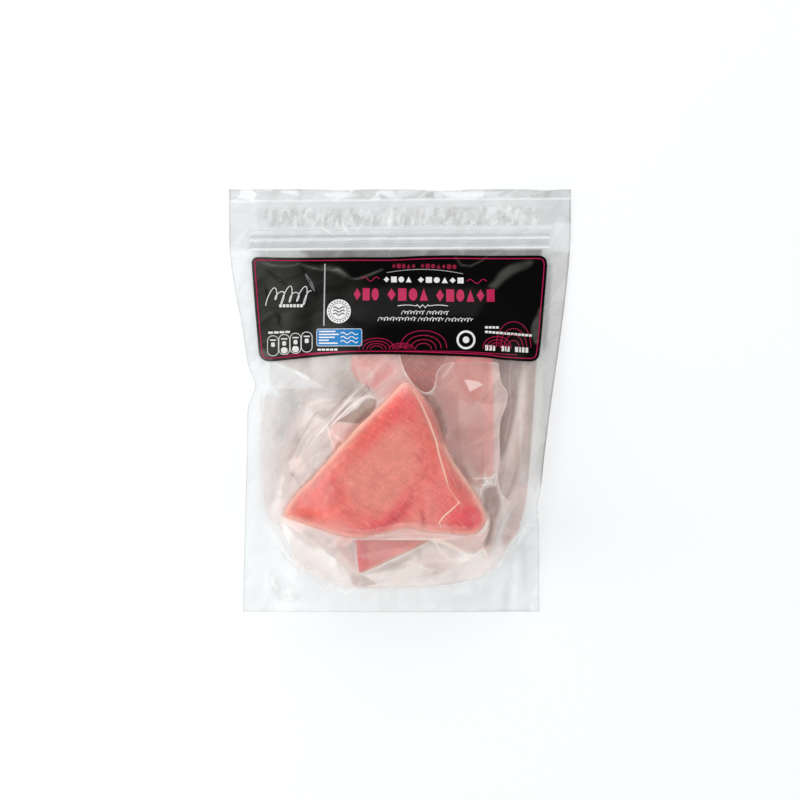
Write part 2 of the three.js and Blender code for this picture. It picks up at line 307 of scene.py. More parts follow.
def sampled(field, x, y):
    """A field's value between its points."""
    across = np.clip((x - field_x[0, 0]) / FIELD_STEP, 0, field.shape[1] - 1.001)
    up = np.clip((y - field_y[0, 0]) / FIELD_STEP, 0, field.shape[0] - 1.001)
    column, row = across.astype(int), up.astype(int)
    across, up = across - column, up - row
    low = field[row, column] * (1 - across) + field[row, column + 1] * across
    high = field[row + 1, column] * (1 - across) + field[row + 1, column + 1] * across
    return low * (1 - up) + high * up


def blurred(field, passes):
    """A field run through a small blur, its border kept."""
    field = field.copy()
    for _ in range(passes):
        for turned in (field, field.T):
            turned[1:-1] = (turned[:-2] + 2 * turned[1:-1] + turned[2:]) / 4
    return field


def filled_pocket(front, x, y):
    """The pouch's front with the pocket that holds the zip filled level with the head."""
    level = height_on(pouch_tree, np.zeros(1), np.full(1, zip_high.y + 0.002), 0.001)[0]
    pocket = np.abs(x) < zip_high.x + ZIP_MARGIN
    pocket &= (y > zip_low.y - ZIP_MARGIN) & (y < zip_high.y + ZIP_MARGIN)
    return np.where(pocket, np.maximum(front, level), front)


pouch_tree = tree_of(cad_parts["pouch"].data)
ceiling = filled_pocket(height_on(pouch_tree, field_x, field_y, UNDER_FILM), field_x, field_y)
ceiling = blurred(ceiling, 6) - UNDER_FILM  # the highest that the contents may reach


def cut_steak(name, outline, bottom):
    """A slab on an outline, remeshed, with rounded shoulders and a slightly uneven cut face."""
    loop = smooth_loop(outline, 0.0022)
    bpy.ops.object.select_all(action="DESELECT")
    bpy.ops.mesh.primitive_circle_add(vertices=len(loop), radius=0.05, fill_type="NGON")
    piece = bpy.context.object
    piece.name = piece.data.name = name
    rim = np.column_stack([loop, np.full(len(loop), bottom)])
    piece.data.vertices.foreach_set("co", rim.ravel())
    bpy.ops.object.mode_set(mode="EDIT")
    bpy.ops.mesh.select_all(action="SELECT")
    bpy.ops.mesh.extrude_region_move(TRANSFORM_OT_translate={"value": (0, 0, STEAK_THICK)})
    bpy.ops.mesh.select_all(action="SELECT")
    bpy.ops.mesh.normals_make_consistent(inside=False)
    bpy.ops.object.mode_set(mode="OBJECT")
    remesh = piece.modifiers.new("slab", "REMESH")
    remesh.mode = "VOXEL"
    remesh.voxel_size = VOXEL
    bpy.ops.object.modifier_apply(modifier=remesh.name)

    co = np.array([v.co for v in piece.data.vertices])
    inward = np.clip(-gap_outside(co[:, 0], co[:, 1], loop), 0, SHOULDER)
    half = STEAK_THICK / 2
    middle = bottom + half
    arch = half - SHOULDER + np.sqrt(SHOULDER**2 - (SHOULDER - inward) ** 2)
    co[:, 2] = middle + (co[:, 2] - middle) * arch / half
    piece.data.vertices.foreach_set("co", co.ravel())
    soften = piece.modifiers.new("soften", "SMOOTH")
    soften.iterations = 4
    bpy.ops.object.modifier_apply(modifier=soften.name)
    for grain, high in ((0.016, 0.0011), (0.004, 0.00034)):
        lumps = bpy.data.textures.new(f"{name}_lumps", "CLOUDS")
        lumps.noise_scale = grain
        uneven = piece.modifiers.new("uneven", "DISPLACE")
        uneven.texture = lumps
        uneven.strength = high
        bpy.ops.object.modifier_apply(modifier=uneven.name)
    bpy.ops.object.shade_smooth()
    return piece, np.array([v.co for v in piece.data.vertices])


def mask_of(tree, name):
    """The value of a mask that is kept on the piece."""
    reader = tree.nodes.new("ShaderNodeAttribute")
    reader.attribute_name = name
    return reader.outputs["Fac"]


def scaled(tree, value, low, high, to_low=0.0, to_high=1.0):
    """A value's range moved to another, and held inside it."""
    step = plug(tree, "ShaderNodeMapRange", Value=value)
    for socket, level in zip(("From Min", "From Max", "To Min", "To Max"), (low, high, to_low, to_high)):
        step.inputs[socket].default_value = level
    return step.outputs[0]


def combined(tree, how, first, second, clamp=False):
    """Two values put through a sum, and held between 0 and 1 where clamp is set."""
    step = plug(tree, "ShaderNodeMath", _0=first, _1=second)
    step.operation = how
    step.use_clamp = clamp
    return step.outputs[0]


def place_on(tree):
    """Each point's own place on its piece."""
    return plug(tree, "ShaderNodeTexCoord").outputs["Object"]


def stretched(tree, place, scale, turn=0, kind="TEXTURE"):
    """A place drawn out along axes that are turned by so many degrees."""
    lie = plug(tree, "ShaderNodeMapping", Vector=place)
    lie.vector_type = kind
    lie.inputs["Rotation"].default_value = (0, 0, math.radians(turn))
    lie.inputs["Scale"].default_value = scale
    return lie.outputs[0]


def noise(tree, place, scale, detail=2, rough=0.5, twist=0):
    """Cloudy values between 0 and 1."""
    made = plug(tree, "ShaderNodeTexNoise", Vector=place, Scale=scale, Detail=detail)
    made.inputs["Roughness"].default_value = rough
    made.inputs["Distortion"].default_value = twist
    return made.outputs["Fac"]


# Raw tuna: salmon pink, with a greyed core, orange and crimson zones, dark blood lines, a pale
# rim and fine fibres that cross the face. The side tint is painted shade where a flank slopes away
# or lies in the shade between the wraps, and the blood tint paints some of that shade too.
STEAK_TINTS = {
    "core": paint(230, 136, 121),
    "pale": paint(243, 156, 148),
    "warm": paint(240, 88, 72),
    "crimson": paint(232, 78, 86),
    "blood": paint(186, 50, 62),
    # painted shade
    "side": paint(184, 112, 104),
    "rim": paint(243, 198, 172),
}
tuna, tree, flesh = material_of("raw_tuna", 0.48, 0.2)
place = place_on(tree)
mottle = noise(tree, place, 170, 5, 0.7)
clouds = noise(tree, place, 48, 4, 0.6)
flecks = noise(tree, place, 620, 1)
cross_fibres = noise(tree, stretched(tree, place, (0.008, 0.0007, 0.004), -42), 1)
long_fibres = noise(tree, stretched(tree, place, (0.010, 0.0009, 0.004), 50), 1)

colour = blend_colour(tree, scaled(tree, clouds, 0.38, 0.62), paint(227, 104, 98), paint(236, 126, 114))
for mask, shade in STEAK_TINTS.items():
    colour = blend_colour(tree, mask_of(tree, mask), colour, shade)
pale_fibres = combined(
    tree, "ADD", scaled(tree, cross_fibres, 0.54, 0.72, 0, 0.26),
    scaled(tree, long_fibres, 0.58, 0.72, 0, 0.20),
)
colour = blend_colour(tree, pale_fibres, colour, paint(250, 176, 160))
colour = blend_colour(tree, scaled(tree, flecks, 0.66, 0.78, 0, 0.3), colour, paint(255, 212, 190))
dark_fibres = scaled(tree, cross_fibres, 0.28, 0.46, 0.95, 1.0)
shade = combined(tree, "MULTIPLY", scaled(tree, mottle, 0.32, 0.68, 0.84, 1.08), dark_fibres)
tone = plug(tree, "ShaderNodeCombineColor", _0=shade, _1=shade, _2=shade)
colour = blend_colour(tree, 1.0, colour, tone.outputs[0], "MULTIPLY")
tree.links.new(colour, flesh.inputs["Base Color"])
grain = plug(tree, "ShaderNodeBump", Strength=0.3, Distance=0.0005, Height=shade)
tree.links.new(grain.outputs[0], flesh.inputs["Normal"])


def finish_steak(piece, co, **masks):
    """Presses a steak under the film, stores its colour masks and dresses it in raw tuna."""
    co[:, 2] = np.minimum(co[:, 2], sampled(ceiling, co[:, 0], co[:, 1]) - FILM_ROOM)
    piece.data.vertices.foreach_set("co", co.ravel())
    plain = np.zeros(len(piece.data.vertices))
    store(piece, {mask: masks.get(mask, plain) for mask in STEAK_TINTS})
    piece.data.materials.append(tuna)
    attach(piece, "root")
    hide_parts("pouch")


upper_steak, co = cut_steak("upper_steak", UPPER_OUTLINE, UPPER_BOTTOM)
x, y = co[:, 0].copy(), co[:, 1].copy()
co[:, 2] -= TIP_DROP * ease((TIP_FROM - x) / TIP_RUN)
crest_run = np.array(FLANK_CREST) / 1000
across = crest_run[1] - crest_run[0]
across = np.array([-across[1], across[0]]) / np.hypot(*across)
beyond_crest = (x - crest_run[0, 0]) * across[0] + (y - crest_run[0, 1]) * across[1]
raised = ease((co[:, 2] - UPPER_BOTTOM) / STEAK_THICK)
co[:, 2] -= FLANK_DROP * ease(beyond_crest / 0.018) * raised
edge = -gap_outside(x, y, smooth_loop(UPPER_OUTLINE))
along_foot = ease((-70 - y * 1000) / 5)
left_side = ease((-x - 0.002) / 0.01) * (1 - along_foot)
upper_flank = ease((x - 0.008) / 0.006) * ease((y + 0.032) / 0.010)
finish_steak(
    upper_steak, co,
    core=0.5 * streak(x, y, [(12, -14), (17, -26), (19, -38)], 4)
    + 0.9 * patch(
        x, y,
        [(-17, -24), (-8, -17), (3.8, -17), (9.5, -28.8), (10, -39), (6, -50), (2, -58), (-4, -65),
         (-13, -67), (-23, -63), (-31, -56), (-36, -46), (-35, -38), (-27, -29)],
        16,
    ),
    pale=0.6 * patch(x, y, [(-62, -72), (-50, -68), (-38, -70), (-30, -75), (-32, -84), (-50, -79)], 8)
    + 0.35 * patch(x, y, [(8, -70), (20, -66), (28, -72), (28, -80), (10, -79)], 6)
    + 0.15 * patch(x, y, [(-6, -74), (4, -72), (12, -74), (12, -80), (-6, -81)], 4)
    + 0.3 * patch(x, y, [(14, -52), (24, -48), (30, -58), (26, -64), (16, -66)], 6)
    + 0.3 * hump(edge, 0.0036) * (1 - left_side) + 0.3 * hump(edge, 0.0022) * along_foot
    + 0.6 * patch(x, y, [(-2, 6), (4, 12), (9, 7), (8, 2), (3, 0)], 5),
    warm=0.8 * streak(x, y, [(-64, -66), (-56, -64), (-46, -62)], 7)
    + 0.5 * patch(x, y, [
        (-69, -67), (-56, -52), (-44, -42), (-32, -54), (-34, -66), (-42, -70), (-60, -69)], 9)
    + 0.75 * streak(x, y, [(-1, 1), (-9.6, -10.3), (-19.7, -21.3), (-27, -29)], 6)
    + 0.45 * streak(x, y, [(13, -12), (18, -26), (20, -38)], 3.5)
    + 0.35 * streak(x, y, [(-54, -56), (-44, -46), (-34, -34)], 5)
    + 0.25 * hump(edge - 0.0045, 0.003) * left_side
    + 0.2 * patch(x, y, [(-64, -64), (-56, -54), (-46, -46), (-40, -52), (-46, -62), (-56, -66)], 7)
    + 0.3 * streak(x, y, [(26.4, -31), (28.6, -37), (31, -42)], 2.4),
    crimson=0.95 * patch(
        x, y, [
            (30.8, -66.7), (36.7, -62), (45.9, -64), (49.3, -70.9), (45.9, -75.5), (35.8, -76),
            (29.1, -73.5)], 6
    )
    + 0.35 * patch(x, y, [(17, -44), (24, -44), (30, -58), (27, -64), (20, -60), (16, -52)], 7)
    + 0.45 * patch(x, y, [(-4, 1), (3, 5), (9, 0), (8, -13), (0, -12), (-10, -9)], 7)
    + 0.95 * streak(x, y, [(5.5, -55), (1, -66), (-8, -73), (-20, -77)], 4.5)
    + 0.25 * streak(x, y, [(-36, -58), (-44, -50), (-46, -44)], 6)
    + 0.35 * streak(x, y, [(2, -4), (-10, -16), (-24, -32), (-34, -42)], 4)
    + 0.12 * patch(x, y, [(-62, -66), (-54, -54), (-44, -44), (-36, -48), (-38, -62), (-48, -67)], 8)
    + 0.25 * streak(x, y, [(28, -42), (32, -48), (36.4, -53), (42, -58)], 3.2),
    # The first blood term is painted shade on the sloping upper flank.
    blood=0.3 * upper_flank * ease((beyond_crest - 0.001) / 0.003)
    + 0.4 * streak(x, y, [(29, -44), (32, -49), (35.6, -53)], 1.8)
    + 0.38 * streak(x, y, [(8.5, -52), (6.4, -58.3), (3.8, -62.5), (0, -67.5), (-4, -71)], 2.0)
    + 0.5 * streak(x, y, [(-1, -69), (-5, -72), (-10, -74)], 1.8)
    + 0.65 * streak(x, y, [(13.1, -65), (13.9, -70.9), (14.4, -76)], 1.6)
    + 0.35 * streak(x, y, [(8.9, -31.4), (12.6, -35.6), (13.3, -41)], 1.4)
    + 0.35 * streak(x, y, [(6, -52), (13, -47), (17, -38)], 1.2)
    + 0.28 * streak(x, y, [(3.8, -8.6), (8.9, -12.8), (12.2, -18.7), (13.5, -27.2), (13.1, -35.6)], 0.9)
    + 0.2 * streak(x, y, [(-26, -60), (-16, -66), (-4, -67)], 1.1),
    # The side tint is painted shade on the flank past the crest, the left tip, a band inside the left edge
    # and a line near the foot.
    side=0.85 * ease((beyond_crest - 0.0008) / 0.003) * ease((y + 0.064) / 0.044)
    + 0.26 * patch(x, y, [(-64, -66), (-56, -54), (-46, -44), (-34, -46), (-34, -62), (-44, -66)], 10)
    + 0.40 * hump(edge - 0.003, 0.003) * left_side
    + 0.15 * streak(x, y, [(8.5, -53), (4, -62), (-2, -69)], 3),
    rim=0.85 * hump(edge, 0.0022) * (0.9 - 0.4 * along_foot) * (1 - 0.7 * upper_flank),
)

back_steak, co = cut_steak("back_steak", BACK_OUTLINE, LOW_BOTTOM)
x, y = co[:, 0], co[:, 1]
finish_steak(
    back_steak, co,
    core=0.6 * patch(x, y, [(-20, 40), (-20, 16), (5, -10), (30, -35), (40, -30), (40, 40)], 16),
    pale=0.5 + 0 * x,
    crimson=0.55 * streak(x, y, [(53, 40), (53, 10), (52, -36)], 3)
    + 0.3 * streak(x, y, [(-18, 12), (-8, 2), (12, -22)], 5),
    # The blood patch and the side patch paint the shade in the notch between the upper wrap's lobes.
    blood=0.5 * streak(x, y, [(31, 2), (34, -1.3)], 1.5)
    + 0.34 * patch(x, y, [(-2, 30), (4, 14), (12, 2), (20, 4), (24, 22), (20, 30)], 6),
    side=0.95 * patch(x, y, [(-4, 30), (2, 12), (10, 2), (20, 4), (26, 20), (34, 26), (30, 34)], 8),
)

low_steak, co = cut_steak("low_steak", LOW_OUTLINE, LOW_BOTTOM)
x, y = co[:, 0], co[:, 1]
edge = -gap_outside(x, y, smooth_loop(LOW_OUTLINE))
finish_steak(
    low_steak, co,
    pale=0.25 + 0.45 * ease((x + 0.02) / 0.025),
    crimson=0.25 + 0.65 * streak(x, y, [(-23.5, -84), (-22.6, -101)], 3.0),
    blood=0.5 * streak(x, y, [(-20.6, -84), (-20, -99)], 1.2),
    rim=0.8 * hump(edge, 0.0013) * ease((x + 0.024) / 0.006) * ease((-y - 0.07) / 0.01),
)


# The vacuum wraps. Each steak is shut between two films drawn tight on it, whose free margin
# stands out round it as a stiff crumpled flange. Each wrap is a flat sheet cut to its outline
# and then laid over the steak.
CLEAR_OF_STEAK = 0.00025
FLANGE_RUN = 0.0045  # the film comes down a steak's side over this width
UPPER_FLANGE = 0.0262
LOW_FLANGE = 0.0085
LAYER_GAP = 0.0004  # kept between one wrap and the next
WRAP_SPACING = 0.0009
FINE_SPACING = 0.00046  # of the upper wrap, which is seen whole

BACK_WRAP = [
    (-80, 62), (-79.5, 40), (-78, 24), (-77, 10), (-66, 0), (-52, -6), (-40, -20), (-20, -40),
    (10, -62), (40, -78), (54, -94), (62, -88), (70, -78), (75.5, -60), (79, -20), (81, 10),
    (83, 40), (84, 62), (40, 66), (-40, 66),
]
LOW_WRAP = [
    (-82, 4), (-60, -1), (-42, 1), (-20, -2), (10, -10), (38, -36), (60, -55), (72, -72),
    (66, -86), (60, -95), (53, -103.4), (41.6, -107.2), (33.5, -109.4), (20.1, -110.9),
    (0.1, -111.8), (-14, -112.4), (-26, -112.2), (-38, -110), (-50, -105), (-61, -100),
    (-64.8, -91.2), (-68, -83), (-72, -76), (-80, -68), (-83.5, -40), (-83.5, -12),
]
UPPER_WRAP = [
    (-34, 40), (-18, 41), (-2, 40), (0.1, 26.8), (2.7, 18.1), (7.4, 10.7), (12.4, 6), (15.8, 4.8),
    (19.3, 6.7), (21, 11.4), (21.5, 15.4), (23.2, 18.8), (26.8, 21.8), (32.2, 22.8), (42.9, 23.1),
    (52, 23), (58.3, 22.4), (59, 19.4), (60.7, 10.7), (63.7, 6), (64.3, 2), (63.3, -3.3),
    (60.3, -11.7), (59.4, -19.6), (59.6, -34), (58.5, -44), (60, -54), (63, -66), (61, -80),
    (57.5, -88), (52.3, -95.7), (49, -92), (45.6, -93.4), (40.2, -96), (34.5, -99.4), (20, -104.5),
    (0, -109.4), (-12, -111), (-26, -111.2), (-29, -108), (-31.3, -103.2), (-36, -97.2),
    (-44.7, -90.5), (-52.7, -84.5), (-62.1, -77.8), (-70, -72), (-73.5, -66), (-71, -48),
    (-66.9, -30), (-61, -17), (-50, -6), (-40, 2), (-31, 6.6), (-24.4, 10.4), (-25.6, 15.4), (-28.6, 27.9),
]


def facets(x, y, spacing, seed, stretch=1.0, turn=0.0):
    """Film crumpled into flat facets with straight creases: heights from -1 to 1, and a value from
    -1 to 1 that changes from facet to facet, used as milkiness and as painted light and shade. The
    facets are about spacing millimetres wide and stretch times as long, turned by so many degrees."""
    chance = np.random.default_rng(seed)
    turn = math.radians(turn)
    along = (x * math.cos(turn) + y * math.sin(turn)) / stretch
    over = y * math.cos(turn) - x * math.sin(turn)
    step = spacing / 1000
    at, by = np.meshgrid(
        np.arange(along.min() - 2 * step, along.max() + 2 * step, step),
        np.arange(over.min() - 2 * step, over.max() + 2 * step, step),
    )
    at = at.ravel() + chance.uniform(-0.46, 0.46, at.size) * step
    by = by.ravel() + chance.uniform(-0.46, 0.46, by.size) * step
    tops = chance.uniform(-1, 1, at.size)
    corners, _, triangles, sources, _, _ = delaunay_2d_cdt([Vector(p) for p in zip(at, by)], [], [], 0, 1e-7)
    sheet = BVHTree.FromPolygons([(c.x, c.y, tops[s[0]]) for c, s in zip(corners, sources)], triangles)
    milky = chance.uniform(-1, 1, len(triangles))
    heights, tints = np.zeros(x.shape), np.zeros(x.shape)
    for spot in np.ndindex(x.shape):
        hit, _, face, _ = sheet.ray_cast(Vector((along[spot], over[spot], 9)), Vector((0, 0, -1)))
        if hit is not None:
            heights[spot], tints[spot] = hit.z, milky[face]
    return heights, tints


def bend_of(z):
    """How sharply a grid is bent."""
    turned = np.zeros(z.shape)
    turned[1:-1, 1:-1] = np.abs(z[:-2, 1:-1] + z[2:, 1:-1] + z[1:-1, :-2] + z[1:-1, 2:] - 4 * z[1:-1, 1:-1])
    return turned


def wrap_heights(steak, outline, flange, crumple, fall=0.0):
    """Heights of a wrap: tight over its steak, then down to its flange."""
    top = height_on(tree_of(steak.data), field_x, field_y, 0.0)
    away = gap_outside(field_x, field_y, smooth_loop(outline))
    shoulder = blurred(np.where(top > 0, top, flange), 4)
    level = flange + crumple - fall
    down = level + np.clip(shoulder - flange, 0, None) * (1 - ease(away / FLANGE_RUN))
    field = np.where(away < 0, np.maximum(top + CLEAR_OF_STEAK, level), down)
    field = blurred(field, 2)
    return np.where(top > 0, np.maximum(field, top + CLEAR_OF_STEAK), field)


wide_folds, wide_tints = facets(field_x, field_y, 15, 4)
small_folds, small_tints = facets(field_x, field_y, 6.5, 9, stretch=1.5, turn=38)
side_folds, side_tints = facets(field_x, field_y, 6, 12, stretch=3.5, turn=80)

back_wrap_heights = wrap_heights(
    back_steak, BACK_OUTLINE, LOW_FLANGE, 0.0016 * wide_folds + 0.0009 * side_folds
)
low_wrap_heights = wrap_heights(
    low_steak, LOW_OUTLINE, LOW_FLANGE, -0.0014 * wide_folds + 0.0006 * small_folds
)
back_wrap_heights = np.minimum(back_wrap_heights, ceiling - 0.0006)
low_wrap_heights = np.maximum(low_wrap_heights, back_wrap_heights + LAYER_GAP)
low_wrap_heights = np.minimum(low_wrap_heights, ceiling - 0.0002)
upper_wrap_heights = wrap_heights(
    upper_steak, UPPER_OUTLINE, UPPER_FLANGE, 0.0010 * wide_folds + 0.0006 * small_folds,
    fall=0.007 * ease(gap_outside(field_x, field_y, smooth_loop(UPPER_OUTLINE)) / 0.035),
)
upper_wrap_heights = np.maximum(upper_wrap_heights, low_wrap_heights + LAYER_GAP)
upper_wrap_heights = np.minimum(upper_wrap_heights, np.maximum(ceiling, low_wrap_heights + 0.0003))


def cut_sheet(name, outline, spacing):
    """A flat sheet cut to an outline: a grid whose faces past the outline are deleted, and whose
    border is then pulled onto it."""
    loop = smooth_loop(outline, spacing * 0.25)
    low = loop.min(0) - spacing
    cells = np.ceil((loop.max(0) + spacing - low) / spacing).astype(int)
    bpy.ops.object.select_all(action="DESELECT")
    bpy.ops.mesh.primitive_grid_add(x_subdivisions=int(cells[0]), y_subdivisions=int(cells[1]), size=1)
    piece = bpy.context.object
    piece.name = piece.data.name = name
    across, up = np.meshgrid(
        low[0] + spacing * np.arange(cells[0] + 1), low[1] + spacing * np.arange(cells[1] + 1)
    )
    flat = np.stack([across, up, 0 * up], axis=-1)
    piece.data.vertices.foreach_set("co", flat.ravel())
    centres = flat[:-1, :-1, :2].reshape(-1, 2) + spacing / 2
    outside = gap_outside(centres[:, 0], centres[:, 1], loop[::3]) > 0
    piece.data.vertices.foreach_set("select", np.zeros(len(piece.data.vertices), bool))
    piece.data.edges.foreach_set("select", np.zeros(len(piece.data.edges), bool))
    piece.data.polygons.foreach_set("select", outside)
    bpy.context.tool_settings.mesh_select_mode = (False, False, True)
    bpy.ops.object.mode_set(mode="EDIT")
    bpy.ops.mesh.delete(type="FACE")
    bpy.ops.object.mode_set(mode="OBJECT")
    bpy.context.tool_settings.mesh_select_mode = (True, False, False)
    bpy.ops.object.shade_smooth()

    mesh = piece.data
    used = np.zeros(len(mesh.loops), int)
    mesh.loops.foreach_get("edge_index", used)
    ends = np.zeros(2 * len(mesh.edges), int)
    mesh.edges.foreach_get("vertices", ends)
    open_edges = np.bincount(used, minlength=len(mesh.edges)) == 1
    border = np.unique(ends.reshape(-1, 2)[open_edges])
    co = np.array([v.co for v in mesh.vertices])
    for corner in border:
        co[corner, :2] = loop[np.argmin(np.sum((loop - co[corner, :2]) ** 2, axis=1))]
    return piece, co, loop


def lay(piece, co, heights):
    """Lays a flat sheet on a height field."""
    co[:, 2] = sampled(heights, co[:, 0], co[:, 1])
    piece.data.vertices.foreach_set("co", co.ravel())
    piece.data.update()


def zoned(x, y, base, zones):
    """Masks of a film: base levels, changed inside each named zone's outline."""
    looks = [level + 0 * x for level in base]
    for soft, *levels, outline in zones.values():
        inside = patch(x, y, outline, soft)
        looks = [look + (level - look) * inside for look, level in zip(looks, levels)]
    return looks


# Two effects that all the clear films share. The first is a milky haze, clouded and streaked,
# whose colour runs from deep to pale as painted shade, flushes where the film lies near flesh, and
# whitens along creases and in small curls as painted highlights, with thin painted dark lines
# beside the light ones. The second is the film's fine grain.
haze_group = bpy.data.node_groups.new("milky_haze", "ShaderNodeTree")
for socket in ("Haze", "Tone", "Blush", "Crease", "Cloud", "Glint"):
    haze_group.interface.new_socket(socket, in_out="INPUT", socket_type="NodeSocketFloat")
for socket in ("Deep", "Pale", "Flush"):
    haze_group.interface.new_socket(socket, in_out="INPUT", socket_type="NodeSocketColor")
haze_group.interface.new_socket("Colour", in_out="OUTPUT", socket_type="NodeSocketColor")
haze_group.interface.new_socket("Milky", in_out="OUTPUT", socket_type="NodeSocketFloat")
tree = haze_group
given = tree.nodes.new("NodeGroupInput").outputs
result = tree.nodes.new("NodeGroupOutput").inputs
place = place_on(tree)
streaks = noise(tree, stretched(tree, place, (0.060, 0.010, 0.060), 52), 1, 1, twist=0.5)
clouds = noise(tree, place, 62, 2, twist=0.3)
curls = noise(tree, stretched(tree, place, (300, 140, 220), kind="POINT"), 1, 1, twist=1)


def wrinkle_lines(values, level, wide, share):
    """Thin curved lines where a noise passes a level."""
    off = combined(haze_group, "SUBTRACT", values, level)
    off = combined(haze_group, "ABSOLUTE", off, 0)
    return combined(haze_group, "MULTIPLY", scaled(haze_group, off, 0, wide, 0.22, 0), share)


cloudy = combined(
    tree, "ADD", scaled(tree, streaks, 0.3, 0.7, -0.5, 0.5), scaled(tree, clouds, 0.3, 0.7, -0.5, 0.5)
)
cloudy = combined(tree, "MULTIPLY", cloudy, given["Cloud"])
tone = combined(tree, "ADD", given["Tone"], cloudy)
tone = combined(tree, "SUBTRACT", tone, wrinkle_lines(streaks, 0.54, 0.02, given["Cloud"]))
blush = combined(tree, "ADD", given["Blush"], combined(tree, "MULTIPLY", cloudy, given["Blush"]))
crease = combined(tree, "ADD", given["Crease"], wrinkle_lines(streaks, 0.49, 0.018, given["Cloud"]))
curled = combined(tree, "MULTIPLY", given["Glint"], 2.2)
crease = combined(tree, "ADD", crease, wrinkle_lines(curls, 0.5, 0.06, curled), clamp=True)
colour = blend_colour(tree, tone, given["Deep"], given["Pale"])
colour = blend_colour(tree, blush, colour, given["Flush"], "MULTIPLY")
whitened = blend_colour(tree, given["Blush"], (1.0, 0.985, 0.97, 1), paint(255, 214, 186))
colour = blend_colour(tree, crease, colour, whitened)
haze = combined(tree, "ADD", given["Haze"], combined(tree, "MULTIPLY", cloudy, given["Haze"]))
milky = combined(tree, "ADD", haze, crease, clamp=True)
tree.links.new(colour, result["Colour"])
tree.links.new(milky, result["Milky"])

grain_group = bpy.data.node_groups.new("film_grain", "ShaderNodeTree")
for socket in ("Scale", "Strength"):
    grain_group.interface.new_socket(socket, in_out="INPUT", socket_type="NodeSocketFloat")
grain_group.interface.new_socket("Normal", in_out="OUTPUT", socket_type="NodeSocketVector")
tree = grain_group
given = tree.nodes.new("NodeGroupInput").outputs
result = tree.nodes.new("NodeGroupOutput").inputs
fine = noise(tree, place_on(tree), given["Scale"], 3, 0.6)
bumps = plug(tree, "ShaderNodeBump", Strength=given["Strength"], Distance=0.0003, Height=fine)
tree.links.new(bumps.outputs[0], result["Normal"])

FILM_MASKS = ("haze", "tone", "blush", "crease", "cloud", "glint")


def clear_plastic(name, deep, pale, flush, shine):
    """Clear film with a milky haze and a gloss that grows as it slants."""
    film, tree, body = material_of(name, 0.4, 0.1)
    haze = plug(tree, "ShaderNodeGroup")
    haze.node_tree = haze_group
    for mask in FILM_MASKS:
        tree.links.new(mask_of(tree, mask), haze.inputs[mask.capitalize()])
    for socket, shade in (("Deep", deep), ("Pale", pale), ("Flush", flush)):
        haze.inputs[socket].default_value = shade
    tree.links.new(haze.outputs["Colour"], body.inputs["Base Color"])
    grainy = plug(tree, "ShaderNodeGroup")
    grainy.node_tree = grain_group
    grainy.inputs["Scale"].default_value = 260.0
    grainy.inputs["Strength"].default_value = 0.35
    grain = grainy.outputs["Normal"]
    tree.links.new(grain, body.inputs["Normal"])
    in_shadow = plug(tree, "ShaderNodeLightPath").outputs["Is Shadow Ray"]
    milky = combined(tree, "MULTIPLY", haze.outputs["Milky"], scaled(tree, in_shadow, 0, 1, 1.0, 0.3))
    clear = plug(tree, "ShaderNodeBsdfTransparent")
    sheet = plug(tree, "ShaderNodeMixShader", Fac=milky, _1=clear.outputs[0], _2=body.outputs[0])
    gloss = plug(tree, "ShaderNodeBsdfGlossy", Color=(1, 1, 1, 1), Roughness=0.14, Normal=grain)
    slant = plug(tree, "ShaderNodeLayerWeight", Blend=0.5, Normal=grain).outputs["Facing"]
    slant = combined(tree, "POWER", slant, 3.0)
    gleam = scaled(tree, slant, 0, 1, 0.045 * shine, 0.8 * shine)
    gleam = combined(tree, "MULTIPLY", gleam, scaled(tree, in_shadow, 0, 1, 1, 0))
    face = plug(tree, "ShaderNodeMixShader", Fac=gleam, _1=sheet.outputs[0], _2=gloss.outputs[0])
    tree.links.new(face.outputs[0], tree.nodes["Material Output"].inputs["Surface"])
    return film


def dress_film(piece, film, **masks):
    """Stores a film's masks, 0 where none is given, and gives it its plastic."""
    plain = np.zeros(len(piece.data.vertices))
    store(piece, {mask: masks.get(mask, plain) for mask in FILM_MASKS})
    piece.data.materials.append(film)


wrap_film = clear_plastic("wrap_film", paint(154, 132, 120), paint(254, 248, 242), paint(238, 180, 174), 0.2)
